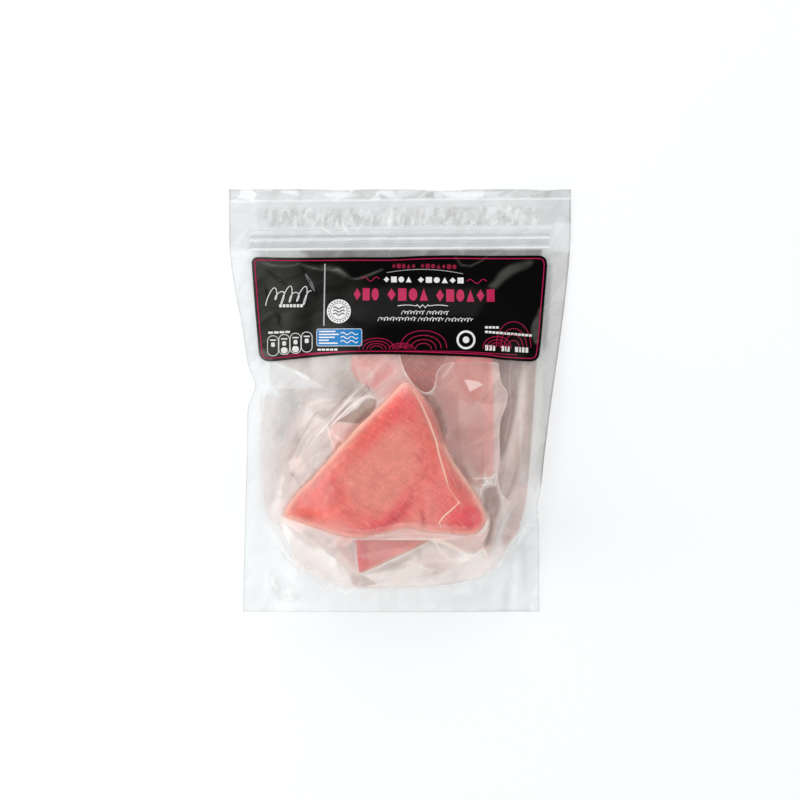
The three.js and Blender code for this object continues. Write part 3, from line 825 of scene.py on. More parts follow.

# Each zone of a wrap: its soft edge, then its haze, tone and blush, then its outline. The tone
# is painted light and shade: low in the hollows and dark folds, high in the white bands.
UPPER_ZONES = {
    "left lobe": (3, 0.44, 0.88, 0.60, [
        (-28, 40), (2, 40), (2.7, 18), (4.7, 12), (-0.4, 8), (-8, 3), (-13, 0.5), (-18, 1.5),
        (-20.6, 5), (-24, 9), (-28, 14)]),
    "left lobe streak": (4, 0.30, 0.75, 0.9, [
        (-20, 5), (-17.5, 12), (-10, 17.5), (-4, 20), (-6, 15), (-13, 10), (-16, 4)]),
    "right lobe": (3, 0.62, 0.44, 0.78, [
        (23, 19), (31, 24), (50, 24), (50, -45), (44, -50), (35, -42), (27, -30), (23, -14), (20, 0)]),
    "lobe's pale middle": (2.5, 0.64, 0.58, 0.62, [
        (35, -1), (41, -2), (49.5, -2), (49.5, -24), (48, -46), (42, -46), (37, -32)]),
    "lobe's strip": (3, 0.74, 0.76, 0.90, [
        (49.5, 24), (55, 24), (56.5, 0), (57, -40), (51, -44), (49, -10)]),
    "lobe's edge": (2.5, 0.66, 0.80, 0.56, [
        (55.5, 24), (60, 20), (61, 10), (65, 4), (64, -5), (60, -20), (60, -46), (57, -44),
        (56.5, -10)]),
    "lobe's grey": (2.5, 0.52, 0.52, 0.42, [
        (-16, 4), (-10.5, 11), (-6.5, 13.4), (0, 17.4), (3, 14), (-4, 8), (-12, 1), (-15, 0)]),
    "lobe's rosy top": (3, 0.60, 0.46, 1.0, [(34, 24), (52, 24), (52, 2), (46, 0), (40, 4), (35, 12)]),
    "pleats": (5, 0.74, 0.46, 0.26, [
        (-20, 12), (-16, 3), (-28, -2), (-42, -14), (-52, -23), (-54, -18), (-44, -8), (-30, 6)]),
    "hollow": (1, 0.95, 0.0, 0.26, [
        (-37.6, -12.6), (-29, -7.2), (-21, -0.4), (-17, 1.8), (-13.6, 0.4), (-14.6, -4.4), (-19, -9.6),
        (-24.6, -14)]),
    "pink patch": (1.2, 0.90, 0.78, 0.62, [
        (-44.2, -15.6), (-37.6, -12.8), (-35.6, -13.6), (-36.6, -21.3), (-40, -32)]),
    "grey patch": (1.2, 0.90, 0.58, 0.62, [
        (-35.8, -13.5), (-24, -13.9), (-31, -21), (-39.4, -30), (-36.6, -21.3)]),
    "pleats' top": (1.5, 0.80, 0.62, 0.16, [
        (-24, 10.6), (-20.6, 8), (-27, 1), (-32, -3.4), (-36, -6), (-33, 0), (-28, 6)]),
    "lobe's pale foot": (3, 0.56, 0.95, 0.40, [
        (-26, 20), (-19, 20), (-15, 14), (-19, 8), (-22, 9), (-25.6, 15)]),
    "beside the tip": (2, 0.76, 0.06, 0.60, [
        (9, 9), (13.4, 4), (18.4, 3.6), (22, 0), (26, -8), (28, -18), (26, -22), (20, -6), (15, 1)]),
    "left margin": (4, 0.66, 0.54, 0.24, [
        (-71, -48), (-66.9, -28), (-60, -16), (-50, -8), (-46, -16), (-52, -32), (-62, -46),
        (-70, -60)]),
    "left ridge": (2.4, 0.68, 0.44, 0.16, [
        (-47.4, -3.4), (-41, -12), (-44, -22), (-50, -27), (-55, -34), (-61, -43), (-66.4, -37),
        (-60, -24), (-55, -14)]),
    "left beige": (2.4, 0.74, 0.50, 0.14, [
        (-44.6, -24), (-40.4, -31), (-48, -40), (-56, -49), (-61, -45), (-55, -35), (-50, -28)]),
    "left knob": (2.4, 0.76, 0.70, 0.30, [(-66.6, -36), (-60, -34), (-56.6, -38), (-58, -42), (-64, -43)]),
    "left slope": (2.4, 0.72, 0.50, 0.20, [
        (-27.8, 12), (-31, 3), (-40, -2), (-47, -3), (-42, 2), (-33, 8)]),
    "under left": (2, 0.76, 0.92, 0.34, [
        (-70, -72), (-60, -73), (-30, -82), (-27, -84), (-25, -103), (-36, -96), (-52.7, -84)]),
    "under left's fold": (2, 0.82, 0.78, 0.62, [
        (-36, -81.6), (-27, -84), (-25, -102), (-31, -96), (-38, -88)]),
    "clear window": (1.6, 0.15, 0.62, 0.3, [
        (-26.6, -82.6), (18, -83.0), (10, -88), (-4.6, -94.5), (-24.4, -103.6), (-26, -98)]),
    "bridge": (1.2, 0.88, 1.0, 0.66, [
        (-24, -82.2), (-13, -80.6), (-4.6, -79), (2.1, -76.6), (12.2, -77.8), (20, -79.6), (34, -81),
        (20, -83), (-4, -82.9)]),
    "right shade": (2, 0.76, 0.94, 0.62, [
        (19, -83), (30, -82), (50, -79), (56, -70), (56, -86), (47, -90), (38, -91), (28, -86.5)]),
    "foot right": (4, 0.84, 0.92, 0.24, [
        (14, -88), (26, -88), (38, -92), (48, -90), (56, -92), (58, -97), (34, -101), (10, -108),
        (4, -98)]),
    "foot facet": (1.2, 0.86, 0.86, 0.28, [
        (17.3, -87), (27.4, -94), (36, -99), (20.7, -103), (12.2, -100), (8, -97)]),
    "foot pale": (2, 0.93, 1.1, 0.14, [
        (-24, -105), (-12, -102.8), (0, -101), (8, -98.6), (13, -97.4), (15, -100), (20, -104),
        (0, -110), (-26, -111.5)]),
    "right fold": (3, 0.84, 0.24, 0.60, [
        (50, -62), (58, -54), (60, -62), (57, -74), (54, -86), (50, -86), (53, -74)]),
    "dark fold": (2, 0.84, 0.10, 0.50, [
        (49.6, -53.6), (57.6, -51.4), (57.4, -57), (54.6, -65), (51.4, -61.6)]),
    "foot's grey fold": (2, 0.86, 0.56, 0.22, [
        (-28, -103.6), (-22.4, -104.4), (-17, -107.6), (-12.6, -111.6), (-25, -113), (-29, -109)]),
    "foot band": (1, 0.94, 1.2, 0.12, [
        (-12, -109.2), (0, -107), (20, -104.8), (38, -101.6), (50, -100), (54, -101.6), (40, -105.4),
        (20, -109), (0, -111), (-22, -112)]),
}
LOW_ZONES = {
    "right corner": (4, 0.80, 0.66, 0.30, [
        (40, -38), (62, -54), (76, -72), (66, -92), (54, -88), (44, -60)]),
    "white flange": (3, 0.94, 1.3, 0.03, [
        (-70, -74), (-60, -78), (-52, -84), (-44, -90), (-35, -97), (-28, -106), (-26, -112),
        (-44, -109), (-62, -100)]),
    "grey fold": (1.5, 0.86, 0.50, 0.20, [
        (-30.6, -103.2), (-24.6, -103.2), (-18.6, -109.9), (-25.9, -112.3), (-27.9, -109.3)]),
    "white band": (2, 0.85, 1.0, 0.06, [
        (-24, -110), (0.1, -109.4), (20, -107), (38, -103.4), (50, -101), (53, -103), (42, -107),
        (33, -109), (20, -110.4), (0, -111.4), (-24, -112)]),
    "left margin": (8, 0.64, 0.66, 0.24, [(-84, -8), (-60, -8), (-56, -30), (-66, -70), (-84, -70)]),
    "foot": (6, 0.82, 0.98, 0.10, [
        (-20, -84), (30, -84), (56, -80), (62, -90), (54, -101), (20, -108), (-24, -110)]),
}
BACK_ZONES = {
    "upper left": (8, 0.62, 0.50, 0.02, [(-84, 34), (-28, 34), (-26, 14), (-36, 4), (-50, -8), (-84, 6)]),
    "right middle": (6, 0.80, 0.44, 0.34, [
        (57, 6), (74, 6), (72, -40), (66, -70), (52, -90), (50, -60), (58, -40)]),
    "right beige": (4, 0.82, 0.44, 0.40, [
        (74, 24), (77, -20), (74, -42), (62, -54), (56, -50), (62, -36), (66, -26), (68, -10),
        (72, 8)]),
    "right hollow": (4, 0.84, 0.12, 0.40, [
        (56, 32), (73, 32), (70.6, 4), (67, -12), (64.6, -24), (60, -34), (56, -20)]),
    "right margin": (4, 0.82, 0.20, 0.44, [(76, 30), (86, 30), (84, 0), (82, -50), (77, -50), (76, -10)]),
    "right foot": (6, 0.86, 0.66, 0.36, [(62, -62), (78, -50), (78, -78), (64, -96), (56, -96), (60, -80)]),
    "dark fold": (3, 0.80, 0.22, 0.30, [
        (48, -57), (56, -57), (55, -70), (52, -82), (50, -88), (48, -84), (50, -74)]),
}
# Each upper or back crease is a painted highlight along its run, or a line of painted shade where its
# whiteness is below 0.
UPPER_CREASES = [  # how white, or how dark below 0, how wide, and its run
    (0.75, 0.45, [
        (5.6, 10), (9.5, 3.5), (12.2, -1.1), (17.3, -12.8), (21.5, -23.8), (23.2, -32.2), (25.7, -40.6),
        (29.1, -52.4), (35, -60.8)]),
    (0.35, 1.5, [(8, 6), (12.2, -1.1), (17.3, -12.8), (21.5, -23.8), (25.7, -40.6), (28, -48)]),
    (1.10, 0.5, [(35, -60.8), (30.5, -65), (27.4, -67.6), (25, -70), (23.2, -72.6), (24.5, -75.1)]),
    (0.30, 1.0, [(33, -58), (37, -62), (36, -66)]),
    (0.45, 0.35, [(22.5, -20), (26, -32), (30, -44), (35.5, -55)]),
    (0.65, 0.4, [(-21.4, 9.9), (-29.8, 1.5), (-38.3, -7.8), (-43.3, -14.5), (-50.1, -21.3)]),
    (0.50, 0.35, [(-24.8, 7.4), (-32.4, -1.9), (-40.8, -12)]),
    (0.55, 0.35, [(-19.6, 7.4), (-27, 0.2), (-34.5, -8), (-41, -15)]),
    (0.35, 0.4, [(-18.1, 3.1), (-24.8, 0.6), (-32.4, -6.1), (-39.9, -13.7)]),
    (0.30, 0.3, [(-15.4, 1), (-18, 2.6), (-21, 2.2), (-25, -1), (-28, -3.4)]),
    (-0.55, 0.4, [(-16.4, -0.6), (-19.6, 0.6), (-25, -3.2), (-31, -8.6), (-38.4, -13.2)]),
    (-0.45, 0.4, [(-21.6, 6), (-24.6, 3), (-28, -1), (-30, -4)]),
    (-0.50, 0.5, [(-23, 8.8), (-31, -0.2), (-39.5, -10), (-45, -17)]),
    (-0.65, 0.5, [(-21, 5.6), (-28, -0.8), (-35.5, -9)]),
    (-0.55, 0.5, [(-18, 5.4), (-25.5, 2), (-31.5, -3.6), (-38, -10.6)]),
    (-0.30, 0.8, [(-27, 8.2), (-35.5, -0.6), (-44.5, -10.5)]),
    (-0.50, 0.5, [(-20.6, 11), (-18.8, 7), (-15.4, 3)]),
    (0.12, 0.7, [(-46, -16), (-54, -22), (-60, -34)]),
    (-0.22, 0.8, [(-45, -12.6), (-52, -17), (-59, -27), (-63, -38)]),
    (0.35, 0.4, [(-20, 13.4), (-15.4, 18.1), (-8.6, 26.4)]),
    (0.30, 0.4, [(-18.4, 13.4), (-13.6, 18.4), (-6.8, 26)]),
    (-0.30, 0.5, [(-7.2, 13.2), (-5, 11.8), (-3, 9.6)]),
    (0.35, 0.5, [(-43.5, -15.6), (-41.5, -22), (-39.2, -29)]),
    (-0.35, 0.6, [(-47.6, -2.6), (-52, -10), (-57, -18), (-62, -27), (-66.5, -35.7)]),
    (-0.40, 0.9, [(-65, -43.4), (-61, -48), (-58, -53)]),
    (0.14, 0.7, [(-44, -15), (-47, -19), (-52, -24), (-55, -29)]),
    (1.20, 0.9, [(20.1, -82.8), (25.5, -84.5), (30.9, -87.2), (36.6, -90.2), (40.2, -93.2)]),
    (1.10, 0.8, [(40.2, -93.2), (45.6, -92.4), (48.3, -93.9), (51, -95.7)]),
    (0.90, 0.6, [(45.6, -92.4), (49.6, -88.5), (52, -93.2)]),
    (0.45, 0.4, [(20.1, -84.1), (22.8, -87.8), (24.8, -91.5)]),
    (0.35, 0.4, [(20.7, -83.6), (24.9, -90.3), (29.1, -95.4), (36.7, -98.7)]),
    (0.45, 0.4, [(-24, -103.6), (-13, -99.4), (-0.4, -93.5), (12.2, -86.8), (19.5, -83)]),
    (0.60, 0.4, [(-25, -82.8), (-4.6, -82.9), (19, -82.9), (36, -81.6)]),
    (0.35, 0.4, [(-22, -80.6), (-6, -80.2), (8, -78.8), (24, -80.6)]),
    (0.45, 0.4, [(-26.3, -83), (-26, -94), (-24.6, -103)]),
    (1.30, 3.0, [(35.2, -98.6), (38, -95.8), (40.6, -93.4)]),
    (-0.25, 1.2, [(18, -86.4), (8, -92.4), (-4, -98), (-14, -102.4)]),
    (-0.25, 0.7, [(13, -91.4), (4, -95.6), (-8, -100.6)]),
    (-0.45, 0.5, [(43, -97.0), (52, -96.6)]),
    (0.5, 0.5, [(42, -98.0), (52, -97.6)]),
    (-0.45, 0.5, [(41, -99.2), (51, -98.8)]),
    (-0.30, 0.9, [(-14, -108.4), (4, -106.4), (20, -104), (36, -101)]),
    (0.40, 0.5, [(6, -97.4), (14, -100.2), (26, -102.6)]),
    (0.30, 0.5, [(57.7, -43.2), (52.7, -47.4), (48.4, -52.4), (47.6, -57.5)]),
    (0.35, 0.4, [(50, -46), (53, -49.4), (57, -50.4), (57.8, -44)]),
    (0.3, 0.4, [(47, -50), (51, -50.6), (55, -48)]),
    (0.40, 0.5, [(43.4, -46.5), (49.3, -46.5), (56, -45.7)]),
    (0.40, 0.4, [(46, -58), (51.6, -67.5), (51.4, -74), (46.4, -80.6)]),
    (0.40, 0.4, [(47, -81.4), (50.6, -78), (53.4, -72), (52.6, -66)]),
    (0.45, 0.4, [(48.4, -84), (51.6, -80), (53, -76)]),
    (-0.40, 0.8, [(48, -58), (54, -68), (54.6, -76), (51, -86)]),
    (0.30, 0.6, [(32.2, 22.8), (28.9, 18.1), (25.5, 13.4)]),
    (0.12, 0.8, [
        (-68.8, -71.1), (-62.1, -77.8), (-52.7, -84.5), (-44.7, -90.5), (-36, -97.2), (-31.3, -103.2)]),
    (0.50, 0.4, [(-27, -78), (-22, -80), (-18, -77)]),
]
BACK_CREASES = [  # as for the upper wrap
    (0.30, 3.4, [(74.6, 20), (72, -6), (69, -20), (64.4, -36), (57, -46)]),
    (-0.30, 2.0, [(61.4, -6), (60.6, -20), (59.6, -34)]),
    (0.25, 2.6, [(78, 22), (75, 8), (73.3, -18), (71.5, -40), (68, -56)]),
    (-0.30, 0.9, [(82.4, 0), (81.6, -11), (80.2, -28), (79, -44)]),
    (-0.30, 1.2, [(70.6, 14), (69, -4), (66, -18), (62.5, -30)]),
    (0.25, 0.6, [(66, 22), (65.6, 8), (66.6, -6), (63, -24)]),
    (-0.25, 1.4, [(74, -20), (71, -40), (66, -54), (60, -66), (57, -80)]),
]
# The outline of a painted highlight on a folded flap of the upper wrap.
FLAP_HIGHLIGHT = [(38.3, 12.6), (42.6, 12.1), (46.9, 11.4), (49.6, 9.4), (45.7, 7.2), (41.7, 5.2), (40, 8.8)]

for name, outline, heights, steak_outline, base, zones, creases in (
    ("back_wrap", BACK_WRAP, back_wrap_heights, BACK_OUTLINE, (0.66, 0.42, 0.1), BACK_ZONES, BACK_CREASES),
    ("low_wrap", LOW_WRAP, low_wrap_heights, LOW_OUTLINE, (0.60, 0.55, 0.12), LOW_ZONES, []),
    ("upper_wrap", UPPER_WRAP, upper_wrap_heights, UPPER_OUTLINE, (0.58, 0.74, 0.14), UPPER_ZONES,
     UPPER_CREASES),
):
    piece, co, loop = cut_sheet(name, outline, FINE_SPACING if name == "upper_wrap" else WRAP_SPACING)
    lay(piece, co, heights)
    x, y = co[:, 0], co[:, 1]
    haze, tone, blush = zoned(x, y, base, zones)
    milky = sampled(side_tints if name == "back_wrap" else small_tints, x, y)
    facet = 0.6 * sampled(wide_tints, x, y) + 0.4 * milky
    crumpled = ease((haze - 0.1) / 0.2)
    from_steak = gap_outside(x, y, smooth_loop(steak_outline))
    on_steak = 1 - ease(from_steak / 0.0022 + (0.55 if name == "upper_wrap" else 0.4))
    folds = np.clip(sampled(bend_of(small_folds), x, y) / 0.6, 0, 1) ** 2
    folds = 0.12 * folds + 0.16 * np.clip(sampled(bend_of(wide_folds), x, y) / 0.25, 0, 1) ** 2
    veil = 0.02 if name == "upper_wrap" else 0.05
    # From facet to facet the haze changes, and the tone changes as painted light and shade.
    haze = (haze + 0.08 * facet * crumpled) * (1 - on_steak) + veil * on_steak
    tone = tone + 0.18 * facet * crumpled
    blush = blush + 0.06 * milky * crumpled
    # Painted highlights along the bends between facets.
    crease = folds * crumpled * (1 - on_steak)
    # A painted highlight runs along the wrap's edge, stronger to the right.
    at_rim = hump(gap_outside(x, y, loop[::3]), 0.0006)
    crease = crease + (0.09 + 0.11 * ease((x + 0.03) / 0.02)) * at_rim
    if name == "upper_wrap":
        # Painted light and shade beside the upper steak: a dark line where the film turns down along the left
        # edge, darker film beside the flanks and lighter film along the foot.
        turn_down = hump(from_steak - 0.0006, 0.0009)
        left_side = ease((-x - 0.004) / 0.01) * ease((y + 0.072) / 0.006)
        near_flesh = hump(np.clip(from_steak, 0, None), 0.0024) * (1 - on_steak)
        at_foot = ease((-y - 0.068) / 0.005)
        tone = tone + (0.5 * at_foot - 0.1) * near_flesh - 0.2 * left_side * turn_down
        haze = haze + 0.12 * turn_down + 0.12 * at_foot * near_flesh
        blush = blush + (0.6 - 0.3 * at_foot) * near_flesh
        notch = patch(x, y, [(-2, 27), (10, 0), (24, 4), (26, 27)], 4)
        crease = crease * (1 + notch)
        # A painted highlight where the folded flap catches the light.
        flap_highlight = patch(x, y, FLAP_HIGHLIGHT, 0.8)
        haze, tone, blush = haze + 0.2 * flap_highlight, tone + 0.4 * flap_highlight, blush * (1 - 0.5 * flap_highlight)
        blush = blush + 0.9 * on_steak
    # Each crease adds a painted highlight along its run, or painted shade where its whiteness is below 0.
    for white, wide, run in creases:
        line = streak(x, y, run, wide, taper=0.3)
        crease = crease + max(white, 0) * line
        haze, tone = haze + 0.3 * max(-white, 0) * line, tone + min(white, 0) * line
    cloud = 0.16 * crumpled * (1 - on_steak)
    dress_film(piece, wrap_film, haze=haze, tone=tone, blush=blush, crease=crease, cloud=cloud)
    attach(piece, "root")
    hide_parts("pouch")


# The pouch film: a front and a back of clear plastic, welded down both sides and across the
# head. The front lies slack on the wraps and creases over them. Both start as grids.
FILM_COLUMNS = 300
FILM_COARSE = 0.00088  # row height up to the label's top, and above it
FILM_FINE = 0.00062
FINE_FROM = 0.084
FILM_LOOSE = 0.0001
FILM_BLURS = 26
SIDE_BLURS = 14
CAD_ROWS = 60
EDGE_INSET = 0.0012  # how far inside the pouch's edge its heights are taken
SIDE_SEAL = 0.012
BODY_TOP = 0.088  # where the body ends and the flat head begins
HEAD_TILT = 0.0085  # the zip and the head's lines climb this much for each metre to the right
HEAD_LINE = 0.1201
CRINKLE_FOOT, CRINKLE_TOP = 0.1046, 0.1146

stations = np.linspace(pouch_low.y, pouch_high.y, CAD_ROWS + 1)
pouch_corners = np.array([v.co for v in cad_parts["pouch"].data.vertices])
rows_at = [pouch_corners[np.abs(pouch_corners[:, 1] - s) < 1e-5, 0] for s in stations]
film_up = np.concatenate([
    np.linspace(pouch_low.y, FINE_FROM, int((FINE_FROM - pouch_low.y) / FILM_COARSE), endpoint=False),
    np.linspace(FINE_FROM, pouch_high.y, int((pouch_high.y - FINE_FROM) / FILM_FINE)),
])


def side_line(values):
    """A side of the pouch, smoothed."""
    line = np.interp(film_up, stations, values)
    for _ in range(SIDE_BLURS):
        line[1:-1] = (line[:-2] + 2 * line[1:-1] + line[2:]) / 4
    return line


film_left, film_right = (side_line([pick(row) for row in rows_at]) for pick in (min, max))
share = np.linspace(0, 1, FILM_COLUMNS + 1)
film_x = film_left[:, None] + share[None, :] * (film_right - film_left)[:, None]
film_y = np.repeat(film_up[:, None], FILM_COLUMNS + 1, axis=1)
head_dip = 0.0009 * hump(film_x - 0.024, 0.013) + 0.0005 * hump(film_x + 0.034, 0.012)
head_dip += 0.0006 * hump(film_x - 0.086, 0.008)
film_y = film_y - head_dip * ease((film_y - 0.1205) / 0.0055)
from_side = np.minimum(film_x - film_left[:, None], film_right[:, None] - film_x)
inside_x = np.clip(film_x, film_left[:, None] + EDGE_INSET, film_right[:, None] - EDGE_INSET)
inside_y = np.clip(film_y, pouch_low.y + EDGE_INSET, pouch_high.y - EDGE_INSET)

front = height_on(pouch_tree, inside_x, inside_y, 0.001)
front = blurred(filled_pocket(front, film_x, film_y), FILM_BLURS)
back = blurred(height_on(pouch_tree, inside_x, inside_y, 0.0, down=False), FILM_BLURS)

free = ease((from_side - SIDE_SEAL * 0.8) / 0.012)
body = free * ease((BODY_TOP - film_y) / 0.012) * ease((film_y + 0.112) / 0.02)
large, large_tints = facets(film_x, film_y, 17, 21)
middle, middle_tints = facets(film_x, film_y, 8, 22, stretch=1.6, turn=60)
front += body * (0.0006 * large + 0.0003 * middle)
front += (1 - free) * (0.00018 * middle + 0.00012 * large)

# Over the zip the film crinkles in upright pleats, more to the right, and its head strip waves.
head_rows = film_up > FINE_FROM
head_x, head_y = film_x[head_rows], film_y[head_rows]
level_y = head_y - HEAD_TILT * head_x
crinkle, crinkle_tints = facets(head_x, head_y, 2.6, 23, stretch=2.2, turn=76)
strip_folds, strip_tints = facets(head_x, head_y, 6, 24, stretch=1.8, turn=20)
band = ease((level_y - CRINKLE_FOOT + 0.001) / 0.002) * (1 - ease((level_y - CRINKLE_TOP) / 0.002))
band *= ease((from_side[head_rows] - 0.014) / 0.01)
strip = ease((level_y - HEAD_LINE) / 0.001)
front[head_rows] += band * 0.0006 * crinkle + strip * 0.0005 * strip_folds

# Each pouch crease is raised in the film, and its whiteness is a painted highlight along it.
POUCH_CREASES = [  # how high in millimetres, how white, how wide, and its run
    (0.5, 0.20, 0.8, [(-76.8, 23.4), (-67.4, 18.9), (-58.7, 15.8), (-52, 11.2), (-46, 8.4)]),
    (0.4, 0.45, 0.8, [(-62.5, 17.6), (-58, 14.6), (-56.5, 14.4), (-54.5, 12.8)]),
    (0.5, 0.16, 1.2, [(-82, 8.4), (-62.1, 7.2), (-46, 7.7)]),
    (0.6, 0.25, 0.7, [(-78.2, 23.4), (-79.5, 16.7), (-78.2, 8.7), (-81.5, 2), (-83, -12)]),
    (0.5, 0.50, 0.6, [(-69.4, -75.1), (-67.1, -83.1), (-64.8, -91.2), (-61.4, -99.9)]),
    (0.4, 0.35, 0.8, [
        (-82.2, -72.4), (-74.8, -81.8), (-70.1, -89.8), (-64.8, -95.9), (-58.1, -100.5),
        (-48, -103.2)]),
    (0.4, 0.80, 0.6, [(-48, -111.9), (-44.7, -112.9), (-41.3, -110.6)]),
    (0.4, 0.90, 0.7, [(-37.3, -112.6), (-32.6, -114.9), (-25.9, -112.5)]),
    (0.5, 0.34, 1.7, [(69, -61), (63, -71.8), (59, -81.8), (55, -93.2)]),
    (0.8, 0.35, 0.9, [(76.5, -74.1), (67.3, -84.3), (58.9, -99.3)]),
    (0.6, 0.25, 1.4, [(70, 18), (72, 0), (72, -24), (73, -48)]),
    (0.5, 0.20, 0.9, [(84.8, 23.4), (84.6, 12.7), (83.8, -0.7), (82.8, -11.7), (82, -40)]),
    (0.4, 0.45, 0.8, [
        (80.4, -74.1), (75.7, -74.8), (70.4, -86.5), (65.7, -92.5), (60.3, -97.2), (55.6, -101.9),
        (52.3, -103.2)]),
    (0.3, 0.10, 0.8, [(-28, 22), (-36, 12), (-50, -2)]),
    (0.3, 0.90, 0.8, [(-76.6, -106), (-76, -110), (-73.5, -113.3)]),
    (0.3, 0.90, 1.0, [(-67.5, -114), (-66, -116.4)]),
    (0.3, 0.80, 0.8, [(-63.6, -112.6), (-62.6, -114.6)]),
    (0.3, 0.50, 0.8, [(-80.5, -104), (-79.5, -112), (-75, -117), (-68, -119.6), (-62, -120.6)]),
    (0.5, 0.55, 0.5, [(-36, 109), (-33.4, 104), (-30, 99)]),
    (0.4, 0.45, 0.5, [(-46, 104), (-43, 101), (-40, 99.5)]),
]
white_lines = 0 * front
for high, white, wide, run in POUCH_CREASES:
    front += high / 1000 * streak(film_x, film_y, run, 2.2 * wide + 0.5, sharp=1.2)
    white_lines += white * streak(film_x, film_y, run, wide, taper=0.3)

on_upper_wrap = gap_outside(field_x, field_y, smooth_loop(UPPER_WRAP)) < 0
contents = np.maximum(low_wrap_heights, back_wrap_heights)
contents = np.maximum(contents, upper_wrap_heights * on_upper_wrap)
lowest = sampled(contents, film_x, film_y) + 0.0003
front = np.where(body > 0.02, np.maximum(front + FILM_LOOSE * body, lowest), front)
front = blurred(front, 1)

# The zip's ribs press through the film, with painted bright and dark lines along them.
HEAD_LINES = [  # where, how high in millimetres, how light, how wide
    (HEAD_LINE, 0.35, 0.40, 0.0006), (0.1018, 0.35, 0.12, 0.0022), (0.0989, -0.45, -0.28, 0.00045),
    (0.0968, 0.60, 0.50, 0.00055), (0.0935, -0.35, -0.16, 0.0014), (0.0912, 0.60, 0.60, 0.0005),
]
across_zip = ease((zip_high.x - 0.0006 - np.abs(head_x)) / 0.003)
rib_tone, rib_white = 0 * front, 0 * front
for at, high, light, wide in HEAD_LINES:
    line = hump(level_y - at, wide) * (1 if at > 0.11 else across_zip)
    front[head_rows] += high / 1000 * line
    rib_tone[head_rows] += light * line
    rib_white[head_rows] += 0.7 * np.clip(light - 0.15, 0, 1) * line
front = np.maximum(front, back + 0.0002)


def film_grid(name, x, y, z):
    """A sheet made from a grid primitive whose corners are moved to x, y and z."""
    bpy.ops.object.select_all(action="DESELECT")
    bpy.ops.mesh.primitive_grid_add(x_subdivisions=x.shape[1] - 1, y_subdivisions=x.shape[0] - 1, size=1)
    piece = bpy.context.object
    piece.name = piece.data.name = name
    piece.data.vertices.foreach_set("co", np.stack([x, y, z], axis=-1).ravel())
    piece.data.update()
    bpy.ops.object.shade_smooth()
    return piece


pouch_film = clear_plastic(
    "pouch_film", paint(120, 118, 114), paint(243, 246, 247), paint(236, 222, 208), 0.22
)

